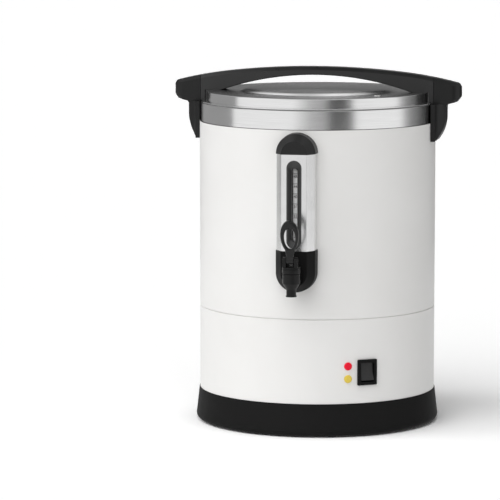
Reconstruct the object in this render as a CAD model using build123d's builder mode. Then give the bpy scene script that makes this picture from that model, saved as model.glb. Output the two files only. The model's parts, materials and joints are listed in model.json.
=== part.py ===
from build123d import *
from math import asin, cos, degrees, pi, radians, sin, sqrt
import os

# Coffee urn with a tap, a sight gauge and a percolator basket.
# Millimetres. The origin is on the surface it stands on, on the axis of the body.
# The tap points to -Y and the two side handles lie on the X axis.

# ---------------------------------------------------------------- driving sizes
fit_gap = 0.3  # clearance between pieces that seat on or in each other
turn_gap = 0.4  # clearance where the lid turns past the side handles

# feet and base, with radii counted from the body's
foot_height = 1.5
foot_radius = 5.0
foot_inset = 7.0  # centres of the feet inside the body's radius
foot_spread = 17.0  # degrees each side of the middle of a pair
foot_pairs = 3
foot_stub = 2.4
base_bottom_flare = 2.6
base_flare = 3.9
base_flare_height = 8.5
base_lip = 0.7
base_top = 37.0
base_wall = 3.2
base_spigot = 8.0
plate_inset = 27.0
plate_ledge = 12.0
plate_thickness = 1.0
plate_height = 6.5
plate_screw_inset = 6.0
plate_screw_count = 4
vent_slot_count = 16
vent_slot_length = 26.0
vent_slot_width = 4.0
tie_rod_radius = 2.5

# painted shells
body_radius = 132.0
shell_wall = 0.8
seam_height = 130.8
seam_gap = 1.2
seam_overlap = 8.0
shell_top = 337.3

# tank and rim
rim_inset = 1.0  # the steel rim inside the painted shell
rim_wall = 0.8
rim_rise = 20.8  # top of the rim above the painted shell
rim_overlap = 12.0
jacket_gap = 10.8  # tank wall inside the body's radius
tank_wall = 0.8
tank_floor = 160.2  # underside of the tank floor
tank_corner = 6.0
well_radius = 28.0
well_depth = 12.0

# heater and controls under the tank
heater_plate_inner = 34.0
heater_plate_outer = 78.0
heater_plate_thickness = 4.0
heater_ring_radius = 57.0
heater_tube_radius = 4.0
terminal_length = 16.0
thermostat_radius = 8.0
thermostat_height = 9.0
cutout_size = (18.0, 8.0, 7.0)
blade_width = 0.8
blade_length = 7.0

# lid
lid_inset = 6.0  # side of the lid inside the rim
lid_rise = 12.4  # top of the lid above the rim
lid_edge_round = 0.7
lid_sheet = 0.8
lid_flange_width = 4.5
lid_flange_lift = 1.2  # underside of the flange above the rim
crown_margin = 36.0  # flat ring round the crown
crown_slope = 17.0
crown_height = 3.4
skirt_gap = 1.2  # skirt inside the tank wall
skirt_depth = 17.0
seal_width = 6.8
seal_setback = 0.9  # behind the edge of the flange
vent_margin = 25.5  # centre of the vent inside the lid's edge
vent_angle = 50.4  # degrees from the front towards +X
vent_radius = 3.0

# arched lid handle and side handles
handle_thickness = 22.0
handle_chamfer = 3.6
handle_lower_chamfer = 0.8
handle_rise = 27.0  # top of the arch above the lid
arch_radius = 880.0  # middle stretch of the top line
arch_reach = 100.0  # half length of that stretch
shoulder_radius = 430.0  # where the line drops towards the ends
arch_opening = 18.1  # finger gap above the lid
arch_foot_length = 18.0
arch_screw_margin = 10.0  # screws in from the lid's edge
arch_screw_spacing = 11.0
leg_gap = 1.8  # between the lid's edge and the leg outside it
grip_overhang = 16.7  # grip beyond the bracket
grip_end_round = 10.4
grip_top_corner = 5.0
grip_foot_corner = 3.6
grip_drop = 13.0  # underside of the grip below the lid's top
grip_end_drop = 8.9
bracket_depth = 13.6  # bracket in front of the shell
bracket_bottom_drop = 20.3  # foot of the bracket below the painted shell's top
bracket_bend_rise = 28.0
bracket_bend_radius = 42.0
bracket_half_width = 22.7
bracket_edge = 4.8
bracket_rib_half_width = 11.5
bracket_rib_depth = 9.2
handle_screw_radius = 2.0
handle_screw_rises = (11.0, 29.0)  # above the foot of the bracket

# gauge panel on the front
panel_depth = 23.0  # front face in front of the shell
panel_face_half = 14.4
panel_shoulder_depth = 12.0
panel_shoulder_half = 21.7
panel_half = 22.6
panel_sheet = 0.8
panel_wall = 2.0
channel_top_drop = 24.3  # top of the steel channel below the painted shell's top
channel_rise = 27.8  # foot of the steel channel above the tap's shank
lower_cap_rise = 3.6  # centre of the lower cap's round end above the shank
slot_half_width = 8.1
slot_foot_margin = 3.1  # ends of the slot inside the channel's
slot_head_margin = 6.5
scale_margin = 13.0  # the strip is this much shorter than the slot
bezel_width = 1.4
bezel_stand = 0.6
trough_depth = 12.7
glass_radius = 3.5
glass_wall = 0.7
glass_setback = 7.6  # axis of the tube behind the panel face
scale_half_width = 2.9
scale_thickness = 0.6
seal_ring_height = 5.0
seal_ring_wall = 1.3
socket_wall = 1.0  # around the ends of the glass

# tap
tap_reach = 38.0  # tap axis in front of the shell
shank_rise = 19.8  # axis of the shank above the underside of the tank floor
shank_radius = 8.0
shank_bore = 5.2
connector_radius = 5.4  # round neck from the panel to the barrel
connector_bore = 3.8
riser_height = 25.0  # from the shank's axis to the top of the glass socket
barrel_radius = 9.6
barrel_rise = 5.6  # shoulder of the barrel above the shank's axis
barrel_taper_drop = 4.8
barrel_bore = 6.4
neck_radius = 8.2
neck_rise = 4.6  # top of the neck above the shoulder
nozzle_radius = 5.3
nozzle_drop = 11.4
nozzle_length = 7.8
nozzle_bore = 3.6
seat_drop = 7.6  # valve seat below the shank's axis
bonnet_radius = 9.9
bonnet_rise = 8.0  # top of the bonnet above the shoulder
pivot_offset = 6.0  # pivot pin in front of the tap axis
pivot_rise = 7.4  # pivot pin above the bonnet
pivot_pin_radius = 1.3
ear_inner = 4.4
ear_outer = 6.9
lever_hub_radius = 4.2
lever_half_width = 4.1
lever_lean = 10.0  # degrees forward of upright
loop_half_width = 10.2
loop_height = 33.5
loop_centre_up = 28.5
loop_side = 4.0
loop_crown = 7.0
loop_thickness = 5.6
stem_radius = 1.6
stem_pin_radius = 1.1
stem_slot_gap = 0.3
seat_cup_radius = 5.4
seat_cup_height = 9.0
spring_radius = 3.4
spring_wire = 0.9
spring_turns = 4

# switch, lamps and inlet on the lower shell
switch_angle = 33.8
switch_height = 71.1
bezel_size = (23.0, 28.4)
switch_body = (20.0, 25.0)
switch_body_depth = 22.0
switch_stand = 2.9
rocker_size = (14.8, 19.2)
rocker_gap = 0.5
rocker_tilt = 10.0
rocker_pivot_depth = 2.0
rocker_pivot_radius = 1.5
lamp_angle = 24.3
lamp_heights = (78.5, 64.5)
lamp_lens_radius = 4.4
lamp_lens_stand = 2.2
lamp_barrel_radius = 3.6
lamp_barrel_length = 14.0
inlet_height = 74.0
inlet_flange = (50.0, 26.0)
inlet_stand = 4.5
inlet_socket = (24.6, 17.0)
inlet_socket_depth = 16.0
inlet_body = (28.6, 21.0)
inlet_screw_spacing = 40.0

# percolator
pump_tube_radius = 5.0
pump_tube_wall = 0.7
pump_bell_radius = 26.0
pump_bell_height = 15.0
pump_tube_top = 340.0
basket_radius = 62.0
basket_wall = 0.8
basket_bottom = 276.0
basket_depth = 52.0
cover_radius = 64.5
hub_wall = 1.4
slide_gap = 0.35
hole_radius = 1.6
hole_ring_radii = (18.0, 31.0, 44.0)
hole_pitch = 16.0
collar_thickness = 2.7
collar_width = 4.0

# ---------------------------------------------------------------- derived sizes
shell_inner = body_radius - shell_wall
spigot_radius = shell_inner - fit_gap
plate_radius = body_radius - plate_inset
plate_seat = plate_height + plate_thickness
plate_screw_circle = plate_radius - plate_screw_inset
foot_circle = body_radius - foot_inset
rim_radius = body_radius - rim_inset
rim_inner = rim_radius - rim_wall
rim_top = shell_top + rim_rise
rim_bottom = shell_top - rim_overlap
tank_radius = body_radius - jacket_gap
tank_inner = tank_radius - tank_wall
tank_floor_inner = tank_floor + tank_wall
well_bottom = tank_floor - well_depth
lid_radius = rim_radius - lid_inset
lid_top = rim_top + lid_rise
lid_under = lid_top - lid_sheet
lid_flange_radius = lid_radius + lid_flange_width
flange_bottom = rim_top + lid_flange_lift
crown_radius = lid_radius - crown_margin
skirt_radius = tank_inner - skirt_gap
seal_outer = lid_flange_radius - seal_setback
seal_inner = seal_outer - seal_width
handle_top = lid_top + handle_rise
arch_underside = lid_top + arch_opening
arch_foot_reach = lid_radius - arch_foot_length
arch_screw_reach = lid_radius - arch_screw_margin
leg_inner = lid_radius + leg_gap
leg_bottom = rim_top + turn_gap
bracket_reach = body_radius + bracket_depth
bracket_bottom = shell_top - bracket_bottom_drop
bracket_bend_height = bracket_bottom + bracket_bend_rise
bracket_rib_reach = body_radius + bracket_rib_depth
handle_reach = bracket_reach + grip_overhang
grip_underside = lid_top - grip_drop
grip_end_underside = lid_top - grip_end_drop
handle_screw_heights = [bracket_bottom + rise for rise in handle_screw_rises]
shank_height = tank_floor + shank_rise
channel_top = shell_top - channel_top_drop
channel_bottom = shank_height + channel_rise
lower_cap_centre = shank_height + lower_cap_rise
slot_bottom = channel_bottom + slot_foot_margin
slot_top = channel_top - slot_head_margin
barrel_shoulder = shank_height + barrel_rise
barrel_taper_top = shank_height - barrel_taper_drop
neck_top = barrel_shoulder + neck_rise
nozzle_top = shank_height - nozzle_drop
nozzle_bottom = nozzle_top - nozzle_length
seat_height = shank_height - seat_drop
bonnet_top = barrel_shoulder + bonnet_rise
panel_face = -(body_radius + panel_depth)
panel_shoulder = -(body_radius + panel_shoulder_depth)
panel_back = body_radius + fit_gap
tap_axis = -(body_radius + tap_reach)
glass_axis = panel_face + glass_setback
pivot_y = tap_axis - pivot_offset
pivot_height = bonnet_top + pivot_rise

os.makedirs("parts", exist_ok=True)


def save(name, label):
    """Label a finished sub-part and write it as one STEP file."""
    name.part.label = label
    export_step(name.part, f"parts/{label}.step")


def side_plane(angle, height, radius=body_radius):
    """Plane on the body's side: x along the wall, y up, z outwards."""
    turn = radians(angle)
    outward = (sin(turn), -cos(turn), 0)
    along = (cos(turn), sin(turn), 0)
    return Plane(origin=(radius * sin(turn), -radius * cos(turn), height), x_dir=along, z_dir=outward)


# ================================================================ feet and base
foot_angles = [
    -90 + pair * 360 / foot_pairs + side * foot_spread for pair in range(foot_pairs) for side in (-1, 1)
]
foot_spots = [
    (foot_circle * cos(radians(angle)), foot_circle * sin(radians(angle))) for angle in foot_angles
]

# A flared tub with a flat ring floor, a raised inner flange for the plate and a
# spigot that the lower shell slips over.
with BuildPart() as base_ring:
    with BuildSketch(Plane.XZ):
        with BuildLine():
            under = Polyline(
                (plate_radius - plate_ledge, plate_seat),
                (plate_radius + fit_gap, plate_seat),
                (plate_radius + fit_gap, foot_height),
                (body_radius + base_bottom_flare - 2, foot_height),
            )
            heel = ThreePointArc(
                under @ 1,
                (body_radius + base_bottom_flare + 0.2, foot_height + 1.6),
                (body_radius + base_flare, base_flare_height),
            )
            Polyline(
                heel @ 1,
                (body_radius + base_lip, base_top),
                (spigot_radius, base_top),
                (spigot_radius, base_top + base_spigot),
                (spigot_radius - base_wall, base_top + base_spigot),
                (spigot_radius - base_wall, base_top - base_wall),
                (body_radius + base_flare - base_wall, foot_height + base_wall),
                (plate_radius + fit_gap + base_wall, foot_height + base_wall),
                (plate_radius + fit_gap + base_wall, plate_seat + base_wall),
                (plate_radius - plate_ledge, plate_seat + base_wall),
                under @ 0,
            )
        make_face()
    revolve(axis=Axis.Z)
    with BuildSketch(Plane.XY.offset(plate_seat + base_wall)):
        with PolarLocations(plate_screw_circle, plate_screw_count, start_angle=45):
            Circle(4)
    extrude(amount=6)
    with BuildSketch(Plane.XY.offset(plate_seat)):
        with PolarLocations(plate_screw_circle, plate_screw_count, start_angle=45):
            Circle(1.6)
    extrude(amount=base_wall + 5, mode=Mode.SUBTRACT)
    with BuildSketch(Plane.XY.offset(foot_height)):
        with Locations(*foot_spots):
            Circle(foot_stub + 0.1)
    extrude(amount=base_wall, mode=Mode.SUBTRACT)
save(base_ring, "base_ring")

with BuildPart() as rubber_feet:
    with BuildSketch(Plane.XY):
        with Locations(*foot_spots):
            Circle(foot_radius)
    extrude(amount=foot_height)
    chamfer(rubber_feet.faces().group_by(Axis.Z)[0].edges(), length=0.5)
    with BuildSketch(Plane.XY.offset(foot_height)):
        with Locations(*foot_spots):
            Circle(foot_stub)
    extrude(amount=base_wall + 2)
save(rubber_feet, "rubber_feet")

# Steel closing plate with ventilation slots.
vent_slot_circle = plate_radius * 0.6
with BuildPart() as bottom_plate:
    with BuildSketch(Plane.XY.offset(plate_height)):
        Circle(plate_radius)
        Circle(tie_rod_radius + 0.2, mode=Mode.SUBTRACT)
        with PolarLocations(plate_screw_circle, plate_screw_count, start_angle=45):
            Circle(2.1, mode=Mode.SUBTRACT)
        with PolarLocations(vent_slot_circle, vent_slot_count):
            SlotOverall(vent_slot_length, vent_slot_width, mode=Mode.SUBTRACT)
    extrude(amount=plate_thickness)
save(bottom_plate, "bottom_plate")

with BuildPart() as base_screws:
    with BuildSketch(Plane.XY.offset(plate_height - 1.8)):
        with PolarLocations(plate_screw_circle, plate_screw_count, start_angle=45):
            Circle(3.6)
    extrude(amount=1.8)
    with BuildSketch(Plane.XY.offset(plate_height)):
        with PolarLocations(plate_screw_circle, plate_screw_count, start_angle=45):
            Circle(1.5)
    extrude(amount=8)
save(base_screws, "base_screws")

# Rod that pulls the tank down onto the plate, with its nut below.
with BuildPart() as tie_rod:
    with BuildSketch(Plane.XY.offset(plate_height - 4)):
        Circle(tie_rod_radius)
    extrude(amount=well_bottom - plate_height + 4)
    with BuildSketch(Plane.XY.offset(well_bottom - 3)):
        Circle(9)
    extrude(amount=3)
save(tie_rod, "tie_rod")

with BuildPart() as tie_nut:
    with BuildSketch(Plane.XY.offset(plate_height - 3.2)):
        RegularPolygon(4.6, 6)
        Circle(tie_rod_radius + 0.02, mode=Mode.SUBTRACT)
    extrude(amount=2.4)
    with BuildSketch(Plane.XY.offset(plate_height - 0.8)):
        Circle(8)
        Circle(tie_rod_radius + 0.2, mode=Mode.SUBTRACT)
    extrude(amount=0.8)
save(tie_nut, "tie_nut")

# ================================================================ painted shells
switch_plane = side_plane(switch_angle, switch_height)
lamp_planes = [side_plane(lamp_angle, height) for height in lamp_heights]
inlet_plane = side_plane(180, inlet_height)

# The lower shell is joggled inwards at its top, so that the upper shell slips over it
# and leaves a narrow groove.
with BuildPart() as lower_shell:
    with BuildSketch(Plane.XZ):
        with BuildLine():
            Polyline(
                (body_radius, base_top),
                (body_radius, seam_height - seam_gap),
                (spigot_radius, seam_height - seam_gap + 0.7),
                (spigot_radius, seam_height + seam_overlap),
                (spigot_radius - shell_wall, seam_height + seam_overlap),
                (spigot_radius - shell_wall, seam_height - seam_gap),
                (shell_inner, seam_height - seam_gap - 1.4),
                (shell_inner, base_top),
                close=True,
            )
        make_face()
    revolve(axis=Axis.Z)
    with BuildSketch(switch_plane):
        Rectangle(switch_body[0] + 0.6, switch_body[1] + 0.6)
    extrude(amount=10, both=True, mode=Mode.SUBTRACT)
    for lamp_plane in lamp_planes:
        with BuildSketch(lamp_plane):
            Circle(lamp_barrel_radius + 0.2)
        extrude(amount=10, both=True, mode=Mode.SUBTRACT)
    with BuildSketch(inlet_plane):
        Rectangle(inlet_body[0] + 0.6, inlet_body[1] + 0.6)
        with Locations((-inlet_screw_spacing / 2, 0), (inlet_screw_spacing / 2, 0)):
            Circle(1.7)
    extrude(amount=10, both=True, mode=Mode.SUBTRACT)
save(lower_shell, "lower_shell")

handle_screw_plane = Plane(origin=(0, 0, 0), x_dir=(0, 1, 0), z_dir=(1, 0, 0))
handle_screw_spots = [(0, height) for height in handle_screw_heights]
upper_screw_spots = [(0, height) for height in handle_screw_heights if height < shell_top]
shank_plane = Plane(origin=(0, 0, shank_height), x_dir=(1, 0, 0), z_dir=(0, -1, 0))

with BuildPart() as upper_shell:
    with BuildSketch(Plane.XY.offset(seam_height)):
        Circle(body_radius)
        Circle(shell_inner, mode=Mode.SUBTRACT)
    extrude(amount=shell_top - seam_height)
    with BuildSketch(shank_plane):
        Circle(shank_radius + 0.5)
    extrude(amount=body_radius + 10, mode=Mode.SUBTRACT)
    with BuildSketch(handle_screw_plane):
        with Locations(*upper_screw_spots):
            Circle(handle_screw_radius + 0.2)
    extrude(amount=body_radius + 10, both=True, mode=Mode.SUBTRACT)
save(upper_shell, "upper_shell")

# ================================================================ tank and rim
# The tank hangs by its turned-out flange on the rim band.
with BuildPart() as tank:
    with BuildSketch(Plane.XZ):
        with BuildLine():
            outside = Polyline(
                (0, well_bottom),
                (well_radius, well_bottom),
                (well_radius, tank_floor),
                (tank_radius - tank_corner, tank_floor),
            )
            corner = ThreePointArc(
                outside @ 1,
                (
                    tank_radius - tank_corner + tank_corner * sin(radians(45)),
                    tank_floor + tank_corner - tank_corner * cos(radians(45)),
                ),
                (tank_radius, tank_floor + tank_corner),
            )
            flange = Polyline(
                corner @ 1,
                (tank_radius, rim_top - tank_wall),
                (rim_radius, rim_top - tank_wall),
                (rim_radius, rim_top),
                (tank_inner, rim_top),
                (tank_inner, tank_floor + tank_corner),
            )
            inner_radius = tank_corner - tank_wall
            inside_corner = ThreePointArc(
                flange @ 1,
                (
                    tank_radius - tank_corner + inner_radius * sin(radians(45)),
                    tank_floor + tank_corner - inner_radius * cos(radians(45)),
                ),
                (tank_radius - tank_corner, tank_floor_inner),
            )
            Polyline(
                inside_corner @ 1,
                (well_radius - tank_wall, tank_floor_inner),
                (well_radius - tank_wall, well_bottom + tank_wall),
                (0, well_bottom + tank_wall),
                (0, well_bottom),
            )
        make_face()
    revolve(axis=Axis.Z)
    fillet(tank.edges().filter_by(GeomType.CIRCLE).group_by(Axis.Z)[-1].sort_by(SortBy.RADIUS)[-1], 0.35)
    with BuildSketch(shank_plane):
        Circle(shank_radius + fit_gap)
    extrude(amount=body_radius, mode=Mode.SUBTRACT)
save(tank, "tank")

with BuildPart() as rim_band:
    with BuildSketch(Plane.XY.offset(rim_bottom)):
        Circle(rim_radius)
        Circle(rim_inner, mode=Mode.SUBTRACT)
    extrude(amount=rim_top - tank_wall - rim_bottom)
    with BuildSketch(handle_screw_plane):
        with Locations(*handle_screw_spots):
            Circle(handle_screw_radius + 0.2)
    extrude(amount=body_radius + 10, both=True, mode=Mode.SUBTRACT)
save(rim_band, "rim_band")

# ================================================================ heater and controls
plate_bottom = tank_floor - heater_plate_thickness
with BuildPart() as heater_plate:
    with BuildSketch(Plane.XY.offset(plate_bottom)):
        Circle(heater_plate_outer)
        Circle(heater_plate_inner, mode=Mode.SUBTRACT)
    extrude(amount=heater_plate_thickness)
    fillet(heater_plate.faces().sort_by(Axis.Z)[0].edges(), 1.2)
save(heater_plate, "heater_plate")

# Tubular element: an open ring under the plate with two ends bent down to terminals.
gap_angle = 24.0
tube_height = plate_bottom - heater_tube_radius
with BuildPart() as heater_tube:
    with BuildSketch(Plane.XZ):
        with Locations((heater_ring_radius, tube_height)):
            Circle(heater_tube_radius)
    revolve(axis=Axis.Z, revolution_arc=360 - gap_angle)
    with BuildSketch(Plane.XY.offset(tube_height)):
        with Locations((heater_ring_radius, 0)):
            Circle(heater_tube_radius)
        end_turn = radians(-gap_angle)
        with Locations((heater_ring_radius * cos(end_turn), heater_ring_radius * sin(end_turn))):
            Circle(heater_tube_radius)
    extrude(amount=-terminal_length)
save(heater_tube, "heater_tube")

control_circle = (heater_plate_inner + heater_ring_radius - heater_tube_radius) / 2
with BuildPart() as thermostat:
    with BuildSketch(Plane.XY.offset(plate_bottom - thermostat_height)):
        with Locations((0, control_circle)):
            Circle(thermostat_radius)
    extrude(amount=thermostat_height)
    with BuildSketch(Plane.XY.offset(plate_bottom - thermostat_height - blade_length)):
        with Locations((-4, control_circle), (4, control_circle)):
            Rectangle(blade_width, 6.3)
    extrude(amount=blade_length)
save(thermostat, "thermostat")

with BuildPart() as thermal_cutout:
    with BuildSketch(Plane.XY.offset(plate_bottom - cutout_size[2])):
        with Locations((0, -control_circle)):
            SlotOverall(cutout_size[0], cutout_size[1])
    extrude(amount=cutout_size[2])
    with BuildSketch(Plane.XY.offset(plate_bottom - cutout_size[2] - blade_length)):
        with Locations((-4, -control_circle), (4, -control_circle)):
            Rectangle(blade_width, 5)
    extrude(amount=blade_length)
save(thermal_cutout, "thermal_cutout")

# ================================================================ switch, lamps, inlet
recess_size = (rocker_size[0] + 2 * rocker_gap, rocker_size[1] + 2 * rocker_gap + 1)
pivot_origin = switch_plane.origin - switch_plane.z_dir * rocker_pivot_depth
rocker_plane = Plane(origin=pivot_origin, x_dir=switch_plane.z_dir, z_dir=-switch_plane.x_dir)
tilt = radians(rocker_tilt)
tilted_outward = switch_plane.z_dir * cos(tilt) + switch_plane.y_dir * sin(tilt)
tilted_plane = Plane(origin=pivot_origin, x_dir=tilted_outward, z_dir=-switch_plane.x_dir)

# Bezel and snap-in body in one moulding, with a recess for the rocker and two tabs.
with BuildPart() as switch_housing:
    with BuildSketch(switch_plane):
        RectangleRounded(*bezel_size, radius=1.2)
    extrude(amount=switch_stand)
    outer_face = switch_housing.faces().sort_by(Axis(switch_plane.origin, switch_plane.z_dir))[-1]
    chamfer(outer_face.edges(), length=0.6)
    with BuildSketch(switch_plane):
        Rectangle(*switch_body)
    extrude(amount=-switch_body_depth)
    with BuildSketch(switch_plane.offset(switch_stand)):
        Rectangle(*recess_size)
    extrude(amount=-(switch_stand + 9), mode=Mode.SUBTRACT)
    with BuildSketch(rocker_plane):
        Circle(rocker_pivot_radius + 0.1)
    extrude(amount=rocker_size[0] / 2 + 1.6, both=True, mode=Mode.SUBTRACT)
    with BuildSketch(switch_plane.offset(-switch_body_depth)):
        with GridLocations(9, 10, 2, 2):
            Rectangle(0.8, 6.3)
    extrude(amount=-8)
save(switch_housing, "switch_housing")

# Rocker with a shallow V face, tipped in at the top, on two stub pins.
half_rocker = rocker_size[1] / 2
with BuildPart() as rocker:
    with BuildSketch(tilted_plane):
        with BuildLine():
            face_line = Polyline((3.4, -half_rocker), (2.0, 0), (3.4, half_rocker))
            Polyline(face_line @ 1, (-1.0, half_rocker), (-3.6, half_rocker - 5))
            ThreePointArc((-3.6, half_rocker - 5), (-4.2, 0), (-3.6, 5 - half_rocker))
            Polyline((-3.6, 5 - half_rocker), (-1.0, -half_rocker), face_line @ 0)
        make_face()
    extrude(amount=rocker_size[0] / 2, both=True)
    with BuildSketch(rocker_plane):
        Circle(rocker_pivot_radius)
    extrude(amount=rocker_size[0] / 2 + 1.2, both=True)
save(rocker, "rocker")

lamp_labels = ("lamp_red", "lamp_yellow")
for lamp_plane, lamp_label in zip(lamp_planes, lamp_labels):
    with BuildPart() as lamp:
        with BuildSketch(lamp_plane):
            Circle(lamp_lens_radius)
        extrude(amount=lamp_lens_stand)
        lens_face = lamp.faces().sort_by(Axis(lamp_plane.origin, lamp_plane.z_dir))[-1]
        fillet(lens_face.edges(), lamp_lens_stand * 0.75)
        with BuildSketch(lamp_plane):
            Circle(lamp_barrel_radius)
        extrude(amount=-lamp_barrel_length)
    save(lamp, lamp_label)

with BuildPart() as lamp_nuts:
    for lamp_plane in lamp_planes:
        with BuildSketch(lamp_plane.offset(-(shell_wall + fit_gap))):
            RegularPolygon(6.2, 6)
            Circle(lamp_barrel_radius + 0.05, mode=Mode.SUBTRACT)
        extrude(amount=-2.5)
save(lamp_nuts, "lamp_nuts")

# Mains inlet: a saddle flange on the round wall, a socket with three blades.
with BuildPart() as power_inlet:
    with BuildSketch(inlet_plane.offset(inlet_stand)):
        RectangleRounded(*inlet_flange, radius=4)
        with Locations((-inlet_screw_spacing / 2, 0), (inlet_screw_spacing / 2, 0)):
            Circle(1.7, mode=Mode.SUBTRACT)
    extrude(amount=-(inlet_stand + 4))
    with BuildSketch(Plane.XY.offset(inlet_height - inlet_flange[1])):
        Circle(body_radius + 0.05)
    extrude(amount=2 * inlet_flange[1], mode=Mode.SUBTRACT)
    with BuildSketch(inlet_plane.offset(inlet_stand)):
        Rectangle(*inlet_body)
    extrude(amount=-(inlet_socket_depth + 3))
    with BuildSketch(inlet_plane.offset(inlet_stand)) as socket_outline:
        Rectangle(*inlet_socket)
        chamfer(socket_outline.vertices().group_by(Axis.Y)[-1], 4.5)
    extrude(amount=-inlet_socket_depth, mode=Mode.SUBTRACT)
    with BuildSketch(inlet_plane.offset(inlet_stand - inlet_socket_depth)):
        with Locations((-7, -1.5), (7, -1.5), (0, 2.5)):
            Rectangle(2, 4.4)
    extrude(amount=inlet_socket_depth - 5.5)
save(power_inlet, "power_inlet")

with BuildPart() as inlet_screws:
    with BuildSketch(inlet_plane.offset(inlet_stand)):
        with Locations((-inlet_screw_spacing / 2, 0), (inlet_screw_spacing / 2, 0)):
            Circle(2.9)
    extrude(amount=1.6)
    fillet(inlet_screws.faces().sort_by(Axis.Y)[-2:].edges(), 0.8)
    with BuildSketch(inlet_plane.offset(inlet_stand)):
        with Locations((-inlet_screw_spacing / 2, 0), (inlet_screw_spacing / 2, 0)):
            Circle(1.5)
    extrude(amount=-12)
save(inlet_screws, "inlet_screws")


# ================================================================ side handles
def top_line(reach):
    """Right half of the handles' top edge up to a reach, as two tangent arcs."""
    middle_turn = asin(arch_reach / arch_radius)
    shoulder_centre = arch_reach - shoulder_radius * sin(middle_turn)
    end_turn = asin((reach - shoulder_centre) / shoulder_radius)
    middle = JernArc((0, handle_top), (1, 0), arch_radius, -degrees(middle_turn))
    return JernArc(middle @ 1, middle % 1, shoulder_radius, -degrees(end_turn - middle_turn))


# The grip carries on the line of the lid handle. Below it a fluted bracket hugs the
# shell and tapers to a rounded foot.
bracket_top = grip_underside + 0.7
inner_face_radius = body_radius + turn_gap
with BuildPart() as side_handle_right:
    with BuildSketch(Plane.XZ) as grip_outline:
        with BuildLine():
            grip_top = top_line(handle_reach)
            Polyline(
                grip_top @ 1,
                (handle_reach, grip_end_underside),
                (bracket_reach, grip_underside),
                (0, grip_underside),
                (0, handle_top),
            )
        make_face()
        lower_corner, upper_corner = grip_outline.vertices().group_by(Axis.X)[-1].sort_by(Axis.Z)
        chamfer(lower_corner, grip_foot_corner)
        chamfer(upper_corner, grip_top_corner)
    extrude(amount=handle_thickness / 2, both=True)
    grip_edges = side_handle_right.faces().filter_by(Axis.Y).edges()
    chamfer(grip_edges.filter_by(lambda edge: edge.center().Z > grip_end_underside + 1), length=handle_chamfer)
    with BuildSketch(Plane.XY.offset(grip_underside - 5)) as grip_plan:
        with Locations((handle_reach / 2, 0)):
            Rectangle(handle_reach, handle_thickness)
        fillet(grip_plan.vertices().group_by(Axis.X)[-1], grip_end_round)
    extrude(amount=60, mode=Mode.INTERSECT)
    with BuildPart(mode=Mode.PRIVATE) as bracket:
        with BuildSketch(Plane.XY.offset(bracket_bottom)):
            with BuildLine():
                edge = Polyline(
                    (body_radius - 10, 0),
                    (body_radius - 10, bracket_half_width),
                    (body_radius - 1.6 + bracket_edge, bracket_half_width),
                )
                flute = ThreePointArc(
                    edge @ 1,
                    (bracket_rib_reach - 4.2, bracket_rib_half_width + 4.6),
                    (bracket_rib_reach, bracket_rib_half_width),
                )
                nose = ThreePointArc(
                    flute @ 1,
                    (bracket_reach - 1.2, bracket_rib_half_width - 2.4),
                    (bracket_reach + 4, bracket_rib_half_width - 4),
                )
                Polyline(nose @ 1, (bracket_reach + 4, 0), edge @ 0)
            make_face()
            mirror(about=Plane.XZ)
        extrude(amount=bracket_top - bracket_bottom)
        with BuildSketch(Plane.XZ):
            with BuildLine():
                bend_drop = bracket_bend_height - bracket_bottom
                foot_reach = bracket_reach - bracket_bend_radius + sqrt(bracket_bend_radius**2 - bend_drop**2)
                foot = Polyline((body_radius - 12, bracket_bottom), (foot_reach, bracket_bottom))
                bend = RadiusArc(foot @ 1, (bracket_reach, bracket_bend_height), -bracket_bend_radius)
                post = Line(bend @ 1, (bracket_reach, grip_underside - 3))
                gusset = ThreePointArc(
                    post @ 1,
                    (bracket_reach + 0.9, grip_underside - 0.9),
                    (bracket_reach + 3, grip_underside + 0.7),
                )
                Polyline(gusset @ 1, (body_radius - 12, grip_underside + 0.7), foot @ 0)
            make_face()
        extrude(amount=bracket_half_width + 1, both=True, mode=Mode.INTERSECT)
    add(bracket.part)
    with BuildSketch(Plane.XY.offset(bracket_bottom - 5)):
        Circle(inner_face_radius)
    extrude(amount=handle_top - bracket_bottom + 10, mode=Mode.SUBTRACT)
    with BuildSketch(handle_screw_plane):
        with Locations(*handle_screw_spots):
            Circle(handle_screw_radius + 0.05)
    extrude(amount=bracket_rib_reach, mode=Mode.SUBTRACT)
save(side_handle_right, "side_handle_right")

with BuildPart() as side_handle_left:
    mirror(side_handle_right.part, about=Plane.YZ)
save(side_handle_left, "side_handle_left")

screw_seat = rim_inner - fit_gap
with BuildPart() as handle_screws:
    with BuildSketch(handle_screw_plane.offset(screw_seat - 2.6)):
        with Locations(*handle_screw_spots):
            Circle(3.8)
    extrude(amount=2.6)
    with BuildSketch(handle_screw_plane.offset(screw_seat)):
        with Locations(*handle_screw_spots):
            Circle(handle_screw_radius)
    extrude(amount=bracket_rib_reach - screw_seat - 1)
    mirror(about=Plane.YZ)
save(handle_screws, "handle_screws")

# ================================================================ gauge panel
channel_inset = 0.8
channel_face = panel_face + channel_inset
slot_plane = Plane(
    origin=(0, channel_face, (slot_bottom + slot_top) / 2), x_dir=(1, 0, 0), z_dir=(0, -1, 0)
)
slot_length = slot_top - slot_bottom


def panel_points(inset):
    """Right half of the panel's section seen from above, as corner points."""
    return [
        (0, panel_face + inset),
        (panel_face_half - inset * 0.6, panel_face + inset),
        (panel_shoulder_half - inset, panel_shoulder + inset * 0.5),
        (panel_half - inset, -body_radius + 8),
        (0, -body_radius + 8),
    ]


# Round space taken by the shell, cut from the back of every panel piece.
shell_space = Cylinder(panel_back, 2 * shell_top)

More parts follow.
